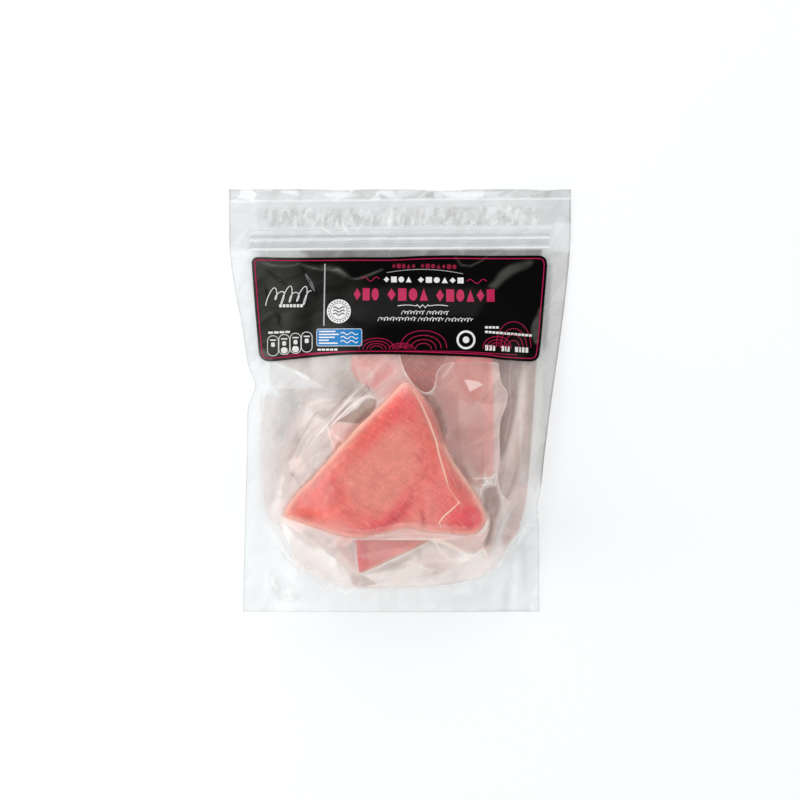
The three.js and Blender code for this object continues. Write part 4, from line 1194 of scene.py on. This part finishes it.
# Each zone of the front: its soft edge, then its haze, tone and blush, then its outline. The tone
# is painted light and shade: shadow over and beside the label, shade in the dark fold and the
# hollows, and lighter film in the white fold and the white patches of the head.
FRONT_ZONES = {
    "foot": (3, 0.50, 0.95, 0.0, [
        (-100, -73), (-82, -73), (-72, -90), (-62, -101), (-46, -108), (-26, -113), (0, -113),
        (34, -110), (54, -103), (66, -92), (76, -76), (100, -73), (100, -140), (-100, -140)]),
    "foot's left": (26, 0.54, 1.0, 0.0, [
        (-110, -60), (-84, -66), (-60, -104), (-30, -118), (-30, -140), (-110, -140)]),
    "foot's right": (14, 0.56, 0.84, 0.0, [(50, -106), (72, -84), (80, -76), (78, -140), (46, -140)]),
    "over the hollow": (3, 0.05, 0.6, 0.4, [
        (-38, -14), (-27.3, -6.3), (-13, 2), (-16, -5.5), (-32, -24), (-40, -28)]),
    "over the notch": (3, 0.13, 0.34, 0.0, [(1, 28), (3, 16), (12, 6), (19, 7), (22, 18), (26, 28)]),
    "right margin": (4, 0.40, 0.66, 0.4, [
        (76, 30), (84, 30), (84.5, 0), (83.5, -48), (78, -50), (76.5, -10)]),
    "low steak's window": (2, 0.06, 0.8, 0.0, [
        (-25, -83.4), (18, -83.6), (10, -88), (-4.6, -94), (-23, -102)]),
    "spot weld": (3, 0.55, 0.76, 0.0, [
        (-80, -100), (-74, -99), (-66, -108), (-60, -117), (-64, -121), (-74, -119), (-81, -110)]),
    "white fold": (3.5, 0.62, 0.86, 0.0, [
        (-84.2, 23), (-76.1, 24), (-58.1, 15.6), (-46, 8), (-62, 8), (-80, 8), (-83, 14)]),
    "grey hollow": (5, 0.55, 0.58, 0.0, [
        (-82, 6), (-62, 4), (-60, -2), (-66, -14), (-72, -26), (-83, -26), (-84, -6)]),
    "warm film": (6, 0.40, 0.66, 0.6, [
        (-52, 26), (-28, 27), (-26, 18), (-24, 9), (-31, 5), (-45, 8), (-55, 15)]),
    "right seal": (5, 0.66, 0.48, 0.22, [(84, 90), (110, 90), (110, -50), (84, -50), (84, 0)]),
    "header": (3, 0.58, 0.55, 0.0, [(-88, 90), (-88, 140), (90, 140), (90, 90)]),
    "header's right": (8, 0.62, 0.52, 0.0, [(86, 103), (86, 140), (120, 140), (120, 103)]),
    "zip": (1.5, 0.62, 0.72, 0.0, [(-92, 90.6), (-92, 104), (0, 104.6), (94, 105), (94, 91), (0, 90.8)]),
    "zip's left end": (3, 0.64, 0.84, 0.0, [(-104, 90), (-104, 105), (-86, 105), (-86, 90)]),
    "zip's right end": (3, 0.62, 0.74, 0.0, [(88, 91), (88, 105), (108, 105), (108, 91)]),
    "over the label": (1.5, 0.84, 0.05, 0.0, [
        (-60, 84), (-60, 90.2), (10, 90.4), (85, 90.6), (85, 84), (10, 84)]),
    "over the label's left": (6, 0.70, 0.44, 0.0, [(-95, 84), (-95, 90), (-62, 90), (-58, 84)]),
    "dark fold": (1.5, 0.93, 0.0, 0.0, [(-38, 85), (-35, 88.6), (-31.5, 89.8), (-28, 88.8), (-25, 85)]),
    "beside the label": (3, 0.70, 0.22, 0.0, [
        (85, 34), (86.5, 60), (87.5, 80), (91, 80), (90, 60), (88, 34)]),
    "white head 1": (1.2, 0.72, 0.96, 0.0, [
        (-99, 125.8), (-90, 125.6), (-81, 121.6), (-84, 123.4), (-91, 123.6)]),
    "white head 2": (1.2, 0.72, 0.96, 0.0, [
        (-72, 125.6), (-62, 126.2), (-60.6, 122.2), (-63, 123.4), (-70, 124.2)]),
    "white head 3": (1.2, 0.72, 0.96, 0.0, [
        (-15, 125.2), (-4, 125.6), (-2.6, 122), (-6, 121.4), (-9, 123), (-14, 123.6)]),
    "white head 4": (1.4, 0.70, 0.92, 0.0, [
        (24, 125), (40, 124.6), (62, 125.2), (58, 123.8), (60, 121.5), (30, 121.7)]),
    "white head 5": (1.4, 0.70, 0.92, 0.0, [
        (-46, 124), (-30, 125), (-24, 123), (-34, 121.4), (-44, 121.6)]),
    "grey head": (1.4, 0.66, 0.28, 0.0, [(12, 121.8), (18.6, 125.2), (20.4, 124.6), (20.8, 121.6)]),
}
haze, tone, blush = zoned(film_x, film_y, (0.12, 0.8, 0.0), FRONT_ZONES)
seal = 1 - free
on_upper = 1 - ease(gap_outside(film_x, film_y, smooth_loop(UPPER_OUTLINE)) / 0.006 + 0.5)
left_seal = seal * ease(-film_x / 0.03)
head = ease((film_y - BODY_TOP) / 0.004)
haze = haze + (0.55 - haze) * left_seal * (1 - head) - 0.09 * on_upper
haze = haze + 0.04 * large_tints * body * (1 - on_upper)
# The front's tone is painted light from the left: lightest on the left seal and darker towards the right,
# with painted shade changing from facet to facet and the zip's rib lines.
beside_label = ease((film_y - 0.012) / 0.02) * (1 - ease((film_y - 0.083) / 0.006))
tone = tone + (1.0 - 0.16 * beside_label - 0.24 * head - tone) * left_seal
tone = tone + 0.07 * middle_tints * (1 - on_upper) - 1.5 * film_x * body + rib_tone
# Over the pleats the tone changes from facet to facet as painted shade, and lightens at the clusters of
# pleats.
shades = crinkle_tints * band
PLEATS = (  # where across the head in millimetres, how wide, how strong
    (-63, 5, 1.0), (-36, 4, 0.6), (-6, 3, 0.4), (10, 6, 0.3), (30, 6, 0.9), (42, 3, 0.8),
    (56, 4, 0.6), (67, 5, 0.9), (81, 3, 1.0),
)
cluster = sum(strong * hump(head_x * 1000 - at, wide) for at, wide, strong in PLEATS)
tone[head_rows] += (
    0.24 * shades - 0.07 * band + 0.24 * strip * strip_tints
    + 0.30 * band * cluster * np.clip(crinkle, -0.4, 1)
)
# Painted light and shade along broad soft folds of the foot.
for change, wide, run in (  # broad soft folds of the foot: light and dark
    (-0.20, 2.4, [(66.4, -106), (63.7, -115.3), (62.3, -128)]),
    (0.14, 2.6, [(70, -92), (69, -108), (68, -128)]),
    (-0.16, 2.2, [(73.7, -86), (74.4, -99.9), (75.1, -112)]),
    (0.14, 1.6, [(56.6, -93), (67, -84.5), (77.8, -74.8)]),
    (-0.12, 4.0, [(20, -121), (44, -118), (58, -112)]),
    (-0.12, 1.6, [(59, -98), (70, -88), (79, -78)]),
):
    tone += change * streak(film_x, film_y, run, wide)
cloud = 0.03 + 0.11 * body * (1 - on_upper)
# Painted glints over the pleats and the head strip, and painted highlights along the creases, the ribs and
# the sharp bends.
glint = 0 * front
glint[head_rows] = band * np.clip(0.12 + 1.1 * cluster, 0, 1)
glint[head_rows] += 0.5 * strip * np.clip(strip_tints - 0.2, 0, 1)
sharp_bends = np.clip(bend_of(front) / 0.00022 - 0.3, 0, 1)
crease = white_lines + rib_white + 0.18 * sharp_bends * (1 - head) * (1 - on_upper)
crease[head_rows] += 0.85 * band * cluster * np.clip(2.2 * crinkle - 0.9, 0, 1)

# A thin shaded line runs round the pack where the two films' edges are welded.
rim = hump(from_side, 0.0007) + hump(film_y - pouch_low.y, 0.0007)
rim = np.clip(rim + 0.6 * hump(film_y - pouch_high.y, 0.0006), 0, 1)
haze, tone = haze + 0.25 * rim, tone - 0.42 * rim

front_film = film_grid("front_film", film_x, film_y, front)
dress_film(
    front_film, pouch_film, haze=haze, tone=tone, blush=blush, crease=crease, cloud=cloud, glint=glint
)
back_film = film_grid("back_film", film_x[::2, ::2], film_y[::2, ::2], back[::2, ::2])
back_seal = seal[::2, ::2]
dress_film(back_film, pouch_film, haze=0.1 + 0.16 * back_seal, tone=0.85 + 0 * back_seal)
back_film.data.flip_normals()


# The gusset: a strip of the same film folded inwards between front and back at the foot, and
# welded to both below its curved seam, so that the filled pouch can stand.
FOOT_ROWS = 26
GUSSET_CENTRE = -0.004
GUSSET_HALF_WIDE = 0.080
FOLD_LOW, FOLD_CLIMB, FOLD_LATE = -0.109, 0.033, 3.6  # how the fold climbs to the sides
WELD_GAP = 0.0003

fold_bend = np.clip(np.abs(film_x[0] - GUSSET_CENTRE) / GUSSET_HALF_WIDE, 0, 1)
fold_line = FOLD_LOW + FOLD_CLIMB * fold_bend**FOLD_LATE
climb = np.linspace(0, 1, FOOT_ROWS)[:, None]
panel_y = pouch_low.y + climb * (fold_line - pouch_low.y)[None, :]
row = np.interp(panel_y, film_up, np.arange(len(film_up)))
row_low = np.minimum(row.astype(int), len(film_up) - 2)
part = row - row_low
columns = np.arange(FILM_COLUMNS + 1)[None, :]


def along_rows(field):
    """A field of the film, read along the gusset's rows."""
    return field[row_low, columns] * (1 - part) + field[row_low + 1, columns] * part


panel_x, panel_top, panel_low = (along_rows(field) for field in (film_x, front, back))
meeting = (panel_top + panel_low) / 2
close = ease((climb - 0.8) / 0.2)
half_gap = np.maximum((panel_top - panel_low) / 2 - WELD_GAP, 0.00005) * (1 - 0.97 * close)
wings = [np.vstack([wing, other[-2::-1]])[:, ::2] for wing, other in (
    (panel_x, panel_x), (panel_y, panel_y), (meeting + half_gap, meeting - half_gap)
)]
gusset = film_grid("gusset", *wings)
dress_film(gusset, pouch_film, haze=0.08 + 0 * wings[0], tone=0.9 + 0 * wings[0])

for piece in (front_film, back_film, gusset):
    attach(piece, "root")
    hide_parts("pouch")


# The label: a black printed sheet on the front film, wrinkled with it. A painted sheen greys the
# black over its left third, in patches near its right side and lower left corner and along the
# crests of its folds, broken up by its wrinkles, and is cut back in the folds' hollows as painted shade.
LABEL_LIFT = 0.00035
LABEL_SPACING = 0.0009
LABEL_OUTLINE = [
    (-88.8, 80), (-88.9, 83.2), (-87.4, 85.4), (-84.4, 86), (-72, 85.7), (-50, 85.7), (-28, 85.9),
    (-5, 85.9), (12, 86.7), (30, 87), (56, 86.8), (78, 86.9), (84, 86.8), (87.2, 85.2), (88.2, 81.4),
    (87.6, 72), (86.4, 58), (85, 41), (83.6, 28.4), (82.2, 25), (79.1, 23.5), (72.4, 23.6),
    (60.3, 24.4), (50, 25.7), (26.8, 26.7), (0.1, 27.5), (-24.6, 27.5), (-38, 27), (-51.4, 26),
    (-64.8, 24.6), (-77, 23.5), (-81, 24), (-83.6, 26), (-84.6, 29), (-85.4, 38), (-87, 56),
]
LABEL_FOLDS = [  # how high in millimetres, how wide, and its run
    (0.8, 1.6, [(-82.4, 82.6), (-75.9, 80.8), (-69.3, 80.4), (-65, 80.8), (-61, 81.9)]),
    (0.8, 1.6, [(-61, 81.9), (-54.1, 79.9), (-48.4, 78.6), (-37, 78.4), (-33.6, 76.4), (-30.1, 73.8)]),
    (0.7, 1.6, [(-30.3, 73.2), (-25.1, 73), (-19.9, 74.7), (-10.7, 78.4)]),
    (-0.6, 1.8, [(-60.2, 81.7), (-54.1, 71.7), (-49.3, 61.2)]),
    (-0.5, 1.6, [(-81, 79), (-72, 72), (-66, 68)]),
    (-0.4, 1.2, [(-80.6, 69), (-80, 64.5), (-78.6, 60)]),
    (-0.4, 1.2, [(-75, 53), (-72, 50), (-73, 46.4), (-71, 44)]),
    (0.5, 1.4, [(52.4, 86), (48.1, 83.4), (41.9, 80.4), (36.7, 81.2), (33.2, 86)]),
    (0.6, 1.8, [(85, 58), (81, 49), (78.6, 43), (82, 35)]),
    (0.7, 1.6, [(-84, 33), (-81.8, 29), (-77, 24.6)]),
    (0.6, 1.2, [(-85.4, 40), (-82.6, 36), (-80.6, 30), (-75, 25)]),
    (-0.5, 1.4, [(-86.4, 84), (-78, 83.4), (-70, 84.4), (-64, 83.4), (-58, 84.6)]),
]
front_tree = tree_of(front_film.data)
label_heights = height_on(front_tree, field_x, field_y, 0.0)
for high, wide, run in LABEL_FOLDS:
    label_heights += high / 1000 * streak(field_x, field_y, run, wide, sharp=1.3)
label_heights = blurred(label_heights, 2) + LABEL_LIFT

label, co, _ = cut_sheet("front_label", LABEL_OUTLINE, LABEL_SPACING)
lay(label, co, label_heights)
x, y = co[:, 0], co[:, 1]
# A painted sheen: strongest over the left third, with patches of it near the right side and the lower left
# corner.
painted_sheen = 0.16 * (1 - ease((x + 0.070) / 0.014)) + 0.10 * (1 - ease((x + 0.048) / 0.040))
painted_sheen *= 1 - 0.9 * patch(x, y, [
    (-60, 84), (-44, 80), (-36, 79), (-28, 72), (-12, 79), (-4, 86), (-30, 86)], 2)
painted_sheen += 0.36 * patch(x, y, [
    (53.3, 68.6), (56.8, 72), (59.4, 76), (63.8, 79.6), (68.1, 81.6), (79, 83.8), (77.7, 80.4),
    (70.3, 77.3), (64.6, 73.7), (59.4, 69.3), (56.8, 66.7)], 3)
painted_sheen += 0.45 * patch(x, y, [(84.4, 56), (82.5, 52), (79, 44.6), (79.4, 38), (82.4, 34), (83.6, 45)], 2)
painted_sheen += 0.4 * patch(x, y, [(-84, 34), (-82, 31), (-76, 24.8), (-82, 24), (-85, 29)], 2)
# Painted highlights along the crests of the folds.
for shine, wide, run in (
    (0.55, 0.5, LABEL_FOLDS[0][2]), (0.5, 0.5, LABEL_FOLDS[1][2]), (0.5, 0.5, LABEL_FOLDS[2][2]),
    (0.4, 0.4, LABEL_FOLDS[7][2]), (0.35, 1.6, [(-46, 80), (-38, 78.6), (-33, 75)]),
):
    painted_sheen += shine * streak(x, y, run, wide, taper=0.3)
# Painted shade in the hollows of the folds takes the sheen away.
for dark, wide, fold in ((0.8, 1.0, 3), (0.6, 0.9, 4), (0.8, 0.8, 5), (0.8, 0.8, 6)):
    painted_sheen *= 1 - dark * streak(x, y, LABEL_FOLDS[fold][2], wide)
store(label, {"painted_sheen": painted_sheen})

black_ink, tree, sheen = material_of("label_black", 0.34, 0.07)
label_wrinkles = noise(tree, stretched(tree, place_on(tree), (0.022, 0.009, 0.022), 24), 1, 2, twist=0.8)
sheen_share = combined(
    tree, "MULTIPLY", mask_of(tree, "painted_sheen"), scaled(tree, label_wrinkles, 0.34, 0.66, 0.6, 1.35)
)
# The black greys towards this colour where the painted sheen lies.
colour = blend_colour(tree, sheen_share, paint(2, 1, 1), paint(108, 108, 103))
tree.links.new(colour, sheen.inputs["Base Color"])
bumps = plug(tree, "ShaderNodeBump", Strength=0.3, Distance=0.0008, Height=label_wrinkles)
tree.links.new(bumps.outputs[0], sheen.inputs["Normal"])
label.data.materials.append(black_ink)
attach(label, "root")
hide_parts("label")


# The print: a border, plain blocks, discs, bars and waves. It has seven thin layers of flat
# shapes, one for each colour on what it lies on. They stand where a label has words and marks.
INK_LIFT = 0.00008
INK_STEP = 0.0016


def ring(cx, cy, rx, ry, parts=40):
    """An ellipse as points."""
    turns = np.linspace(0, 2 * math.pi, parts, endpoint=False)
    return [(cx + rx * math.cos(t), cy + ry * math.sin(t)) for t in turns]


def bar(left, foot, right, top, corner=0.0):
    """A rectangle as points, with rounded corners where corner is set."""
    if not corner:
        return [(left, foot), (right, foot), (right, top), (left, top)]
    points = []
    x_low, x_high, y_low, y_high = left + corner, right - corner, foot + corner, top - corner
    middles = ((x_high, y_low), (x_high, y_high), (x_low, y_high), (x_low, y_low))
    for (cx, cy), start in zip(middles, (-90, 0, 90, 180)):
        turns = [math.radians(start + turn) for turn in range(0, 91, 15)]
        points += [(cx + corner * math.cos(turn), cy + corner * math.sin(turn)) for turn in turns]
    return points


def stroke(points, wide, closed=False):
    """A line of even width along points, as quadrilaterals that share their corners."""
    path = np.array(points, float)
    before = np.roll(path, 1, 0) if closed else np.vstack([2 * path[:1] - path[1:2], path[:-1]])
    after = np.roll(path, -1, 0) if closed else np.vstack([path[1:], 2 * path[-1:] - path[-2:-1]])
    run = after - before
    run /= np.hypot(*run.T)[:, None]
    side = np.column_stack([-run[:, 1], run[:, 0]]) * wide / 2
    left, right = path + side, path - side
    pairs = range(len(path) if closed else len(path) - 1)
    return [[left[n], right[n], right[(n + 1) % len(path)], left[(n + 1) % len(path)]] for n in pairs]


def wave(left, right, middle, high, turns, lean=0.0):
    """A line that rises and falls evenly from left to right."""
    swing = 2 * math.pi * turns
    return [
        (left + (right - left) * t + lean * math.sin(2 * swing * t), middle + high * math.sin(swing * t))
        for t in np.linspace(0, 1, max(int(22 * turns), 20))
    ]


def loops(left, right, middle, high, turns, rise=0.0):
    """A leaning line of loops from left to right, whose height rises and falls by a share."""
    points = []
    pitch = (right - left) / turns
    for turn in np.linspace(0, 2 * math.pi * turns, int(18 * turns)):
        up = -high * (1 + rise * math.sin(0.43 * turn + 1.4)) * math.cos(turn)
        at = left + pitch * turn / (2 * math.pi) - 0.3 * pitch * math.sin(turn) + 0.3 * up
        points.append((at, middle + up))
    return points


def crest(cx, foot, wide, high):
    """An arch like the crest of a swell."""
    turns = np.linspace(0.05, math.pi - 0.05, 24)
    return [(cx + wide / 2 * math.cos(t), foot + high * math.sin(t) ** 0.8) for t in turns]


def row_of(shapes, left, right, foot, top, lean=0.0):
    """So many plain shapes side by side: lozenges, bars, discs and wedges in turn."""
    pitch = (right - left) / shapes
    wide = 0.78 * pitch
    row = []
    for n in range(shapes):
        at, low, high = left + n * pitch, foot + lean * n, top + lean * n
        middle, centre = (low + high) / 2, at + wide / 2
        row.append((
            [(at, middle), (centre, low), (at + wide, middle), (centre, high)],
            bar(at, low, at + wide, high),
            ring(centre, middle, wide / 2, (high - low) / 2, 24),
            [(at, low), (at + wide, low), (centre, high)],
        )[n % 4])
    return row


def ink(name, colour, shapes, lift=INK_LIFT):
    """One ink's shapes, cut finely enough to follow the label, and laid on it."""
    points, triangles = [], []
    for shape in shapes:
        loop = np.array(shape, float) / 1000
        fine = []
        for start, end in zip(loop, np.roll(loop, -1, 0)):
            steps = max(int(np.hypot(*(end - start)) / INK_STEP), 1)
            fine += [start + (end - start) * n / steps for n in range(steps)]
        fine = np.array(fine)
        low, high = fine.min(0), fine.max(0)
        x, y = np.meshgrid(np.arange(low[0], high[0], INK_STEP), np.arange(low[1], high[1], INK_STEP))
        keep = gap_outside(x, y, fine) < -0.0006
        spots = [Vector(p) for p in fine] + [Vector(p) for p in zip(x[keep], y[keep])]
        area = sum(a[0] * b[1] - b[0] * a[1] for a, b in zip(fine, np.roll(fine, -1, 0)))
        border = list(range(len(fine)))[:: 1 if area > 0 else -1]
        corners, _, faces, *_ = delaunay_2d_cdt(spots, [], [border], 1, 1e-8)
        base = len(points)
        points += [(c.x, c.y) for c in corners]
        triangles += [[base + corner for corner in face] for face in faces]
    x, y = np.array(points).T
    mesh = bpy.data.meshes.new(name)
    mesh.from_pydata(np.column_stack([x, y, sampled(label_heights, x, y) + lift]).tolist(), [], triangles)
    for flip in [f for f in mesh.polygons if f.normal.z < 0]:
        flip.flip()
    mesh.update()
    piece = bpy.data.objects.new(name, mesh)
    bpy.context.scene.collection.objects.link(piece)
    dye, tree, face = material_of(name, 0.34, 0.15)
    dots = noise(tree, place_on(tree), 900, 1)
    worn = tuple(0.84 * c for c in colour[:3]) + (1,)
    tree.links.new(blend_colour(tree, scaled(tree, dots, 0.4, 0.62), colour, worn), face.inputs["Base Color"])
    mesh.materials.append(dye)
    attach(piece, "root")
    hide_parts("label")


def inset_loop(outline, by):
    """The outline drawn in by so many millimetres."""
    loop = smooth_loop(outline, INK_STEP) * 1000
    run = np.roll(loop, -1, 0) - np.roll(loop, 1, 0)
    run /= np.hypot(*run.T)[:, None]
    inward = np.column_stack([-run[:, 1], run[:, 0]])
    turning = np.sum(loop[:, 0] * np.roll(loop[:, 1], -1) - np.roll(loop[:, 0], -1) * loop[:, 1])
    return loop + inward * by * (1 if turning > 0 else -1)


foot_line = [(t, 26.9 + 2.6 * math.exp(-((t / 60) ** 4))) for t in np.linspace(-70, 70, 60)]
magenta = stroke(inset_loop(LABEL_OUTLINE, 1.8), 0.5, closed=True) + stroke(foot_line, 0.35)
for shapes, left, right, drop in ((3, -27.7, -11.6, 0), (4, -7.6, 18.2, 0.2), (6, 21.6, 58, 0.8)):
    magenta += row_of(shapes, left, right, 59.9 - drop, 67.4 - drop)
for cx, wide, high in ((-14, 21, 7), (1, 15, 4), (14, 28, 11.5), (58, 17, 8), (68, 21, 17)):
    for level in (1.0, 0.76, 0.54, 0.34):
        magenta += stroke(crest(cx, 30.2, wide * level, high * level), 0.34)
magenta += stroke(wave(-23.1, -12.2, 72.8, 1.2, 1.5), 0.4) + stroke(wave(40, 52, 71.4, 1.2, 1.5), 0.4)
ink("ink_magenta", paint(190, 26, 82), magenta)

red = row_of(5, -4.8, 9.9, 79.2, 82.0) + row_of(7, 12.2, 34.6, 79.3, 82.1, lean=-0.1)
ink("ink_dark_red", paint(140, 28, 58), red)

grey = stroke([(-45, 81.9), (-45.6, 44.8)], 0.8)
grey += stroke([(t, 78.6 - 0.0044 * (t - 13) ** 2) for t in np.linspace(-8, 37.8, 30)], 0.35)
ink("ink_grey", paint(178, 180, 178), grey)

white = stroke(loops(-78.6, -54, 62.8, 4.0, 5.5, rise=0.5), 0.5)
white += [bar(-72.4 + 2.1 * n, 55.9, -70.8 + 2.1 * n, 57.7) for n in range(7)]
white += [ring(-36.6, 53.4, 7.2, 7.2, 48)]
white += row_of(4, -9.8, 7.9, 70.8, 74.3) + row_of(6, 10.7, 39.2, 70.6, 74.1, lean=-0.09)
white += stroke(wave(-1.5, 9.5, 56.6, 0.5, 0.5), 0.4) + stroke(wave(9.5, 17.5, 56.4, 1.1, 2.5, lean=0.3), 0.4)
white += stroke(wave(17.5, 28.6, 56.6, 0.5, 0.5), 0.4)
for left, right, middle in (
    (1.3, 14.6, 52.6), (16.4, 29, 52.4), (-12.7, 9.6, 48.7), (11.2, 26, 48.5), (27.6, 43.5, 48.2),
):
    white += stroke(loops(left, right, middle, 0.85, round((right - left) / 1.9) + 0.5, rise=0.45), 0.34)
for n in range(4):
    left, foot = -79.4 + 6.75 * n, 26.8 + 0.75 * n
    white += stroke(bar(left, foot, left + 6.5, foot + 12, 3.0), 0.42, closed=True)
    white.append(bar(left + 1.4, foot + 9.0, left + 5.1, foot + 9.8))
    white.append(bar(left + 2.1, foot + 5.4, left + 4.4, foot + 8.0, 0.6))
    if n in (1, 2):
        white.append(bar(left + 1.2, foot + 0.6, left + 5.3, foot + 4.4, 1.9))
white += [bar(-79 + 3.4 * n, 40 + 0.16 * n, -76.2 + 3.4 * n, 41.3 + 0.16 * n) for n in range(4)]
white += [bar(-49.4 + 2.5 * n, 29.9, -47.4 + 2.5 * n, 31.0) for n in range(5)]
white += stroke(ring(39.4, 36.2, 5.0, 5.0), 1.3, closed=True) + [ring(39.4, 36.2, 2.0, 2.0, 24)]
white += [bar(50.8 + 2.2 * n, 43.0, 52.5 + 2.2 * n, 44.4) for n in range(4)]
white += [bar(50.8 + 2.2 * n, 40.3 - 0.17 * n, 52.6 + 2.2 * n, 41.7 - 0.17 * n) for n in range(13)]
left = 50.9
for n, wide in enumerate((2.4, 2.2, 1.9, 3.2, 2.2, 1.4, 2.0, 2.6, 2.6, 1.6, 2.2, 2.2)):
    if n not in (3, 7):
        white.append(bar(left, 29.9 - 0.11 * n, left + wide - 0.6, 33.1 - 0.13 * n))
    left += wide
ink("ink_white", paint(234, 234, 232), white)

blue_field = bar(-49.9, 32.6, -22.8, 42.8, 1.2)
ink("ink_blue", paint(6, 120, 186), [blue_field])
detail = stroke(blue_field, 0.3, closed=True)
for n, wide in enumerate((10, 12, 9.6, 6, 11.4)):
    detail.append(bar(-48.6, 40.9 - 1.75 * n, -48.6 + wide, 41.7 - 1.75 * n))
for level in range(3):
    detail += stroke(wave(-35.5, -25, 35.2 + 2.4 * level, 0.7, 2), 0.5)
ink("ink_white_on_blue", paint(232, 236, 240), detail, 2 * INK_LIFT)

marks = stroke(ring(-36.6, 53.4, 5.0, 5.0), 0.3, closed=True)
for turn in np.linspace(0, 2 * math.pi, 22, endpoint=False):
    marks.append(ring(-36.6 + 6.1 * math.cos(turn), 53.4 + 6.1 * math.sin(turn), 0.4, 0.4, 10))
for level in range(3):
    marks += stroke(wave(-40, -33.2, 51.6 + 1.9 * level, 0.6, 1.5), 0.6)
ink("ink_black_on_white", paint(46, 46, 46), marks, 2 * INK_LIFT)


# The zip: two strips of pale plastic with ribs that lock, welded inside the film. Its solid
# already has the right shape, so it keeps its mesh.
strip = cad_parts["zip"]
zip_plastic, tree, ribs = material_of("zip_plastic", 0.35)
place = place_on(tree)
lines = noise(tree, stretched(tree, place, (60, 900, 900), kind="POINT"), 1, 2)
colour = blend_colour(tree, scaled(tree, lines, 0.3, 0.7), paint(214, 218, 218), paint(236, 238, 238))
tree.links.new(colour, ribs.inputs["Base Color"])
from_middle = plug(tree, "ShaderNodeSeparateXYZ", Vector=place).outputs["X"]
from_middle = combined(tree, "ABSOLUTE", from_middle, 0.0)
faded = scaled(tree, from_middle, zip_high.x - 0.004, zip_high.x, 1.0, 0.1)
solid = combined(tree, "MULTIPLY", scaled(tree, lines, 0.3, 0.7, 0.26, 0.36), faded)
tree.links.new(solid, ribs.inputs["Alpha"])
strip.data.materials.clear()
strip.data.materials.append(zip_plastic)
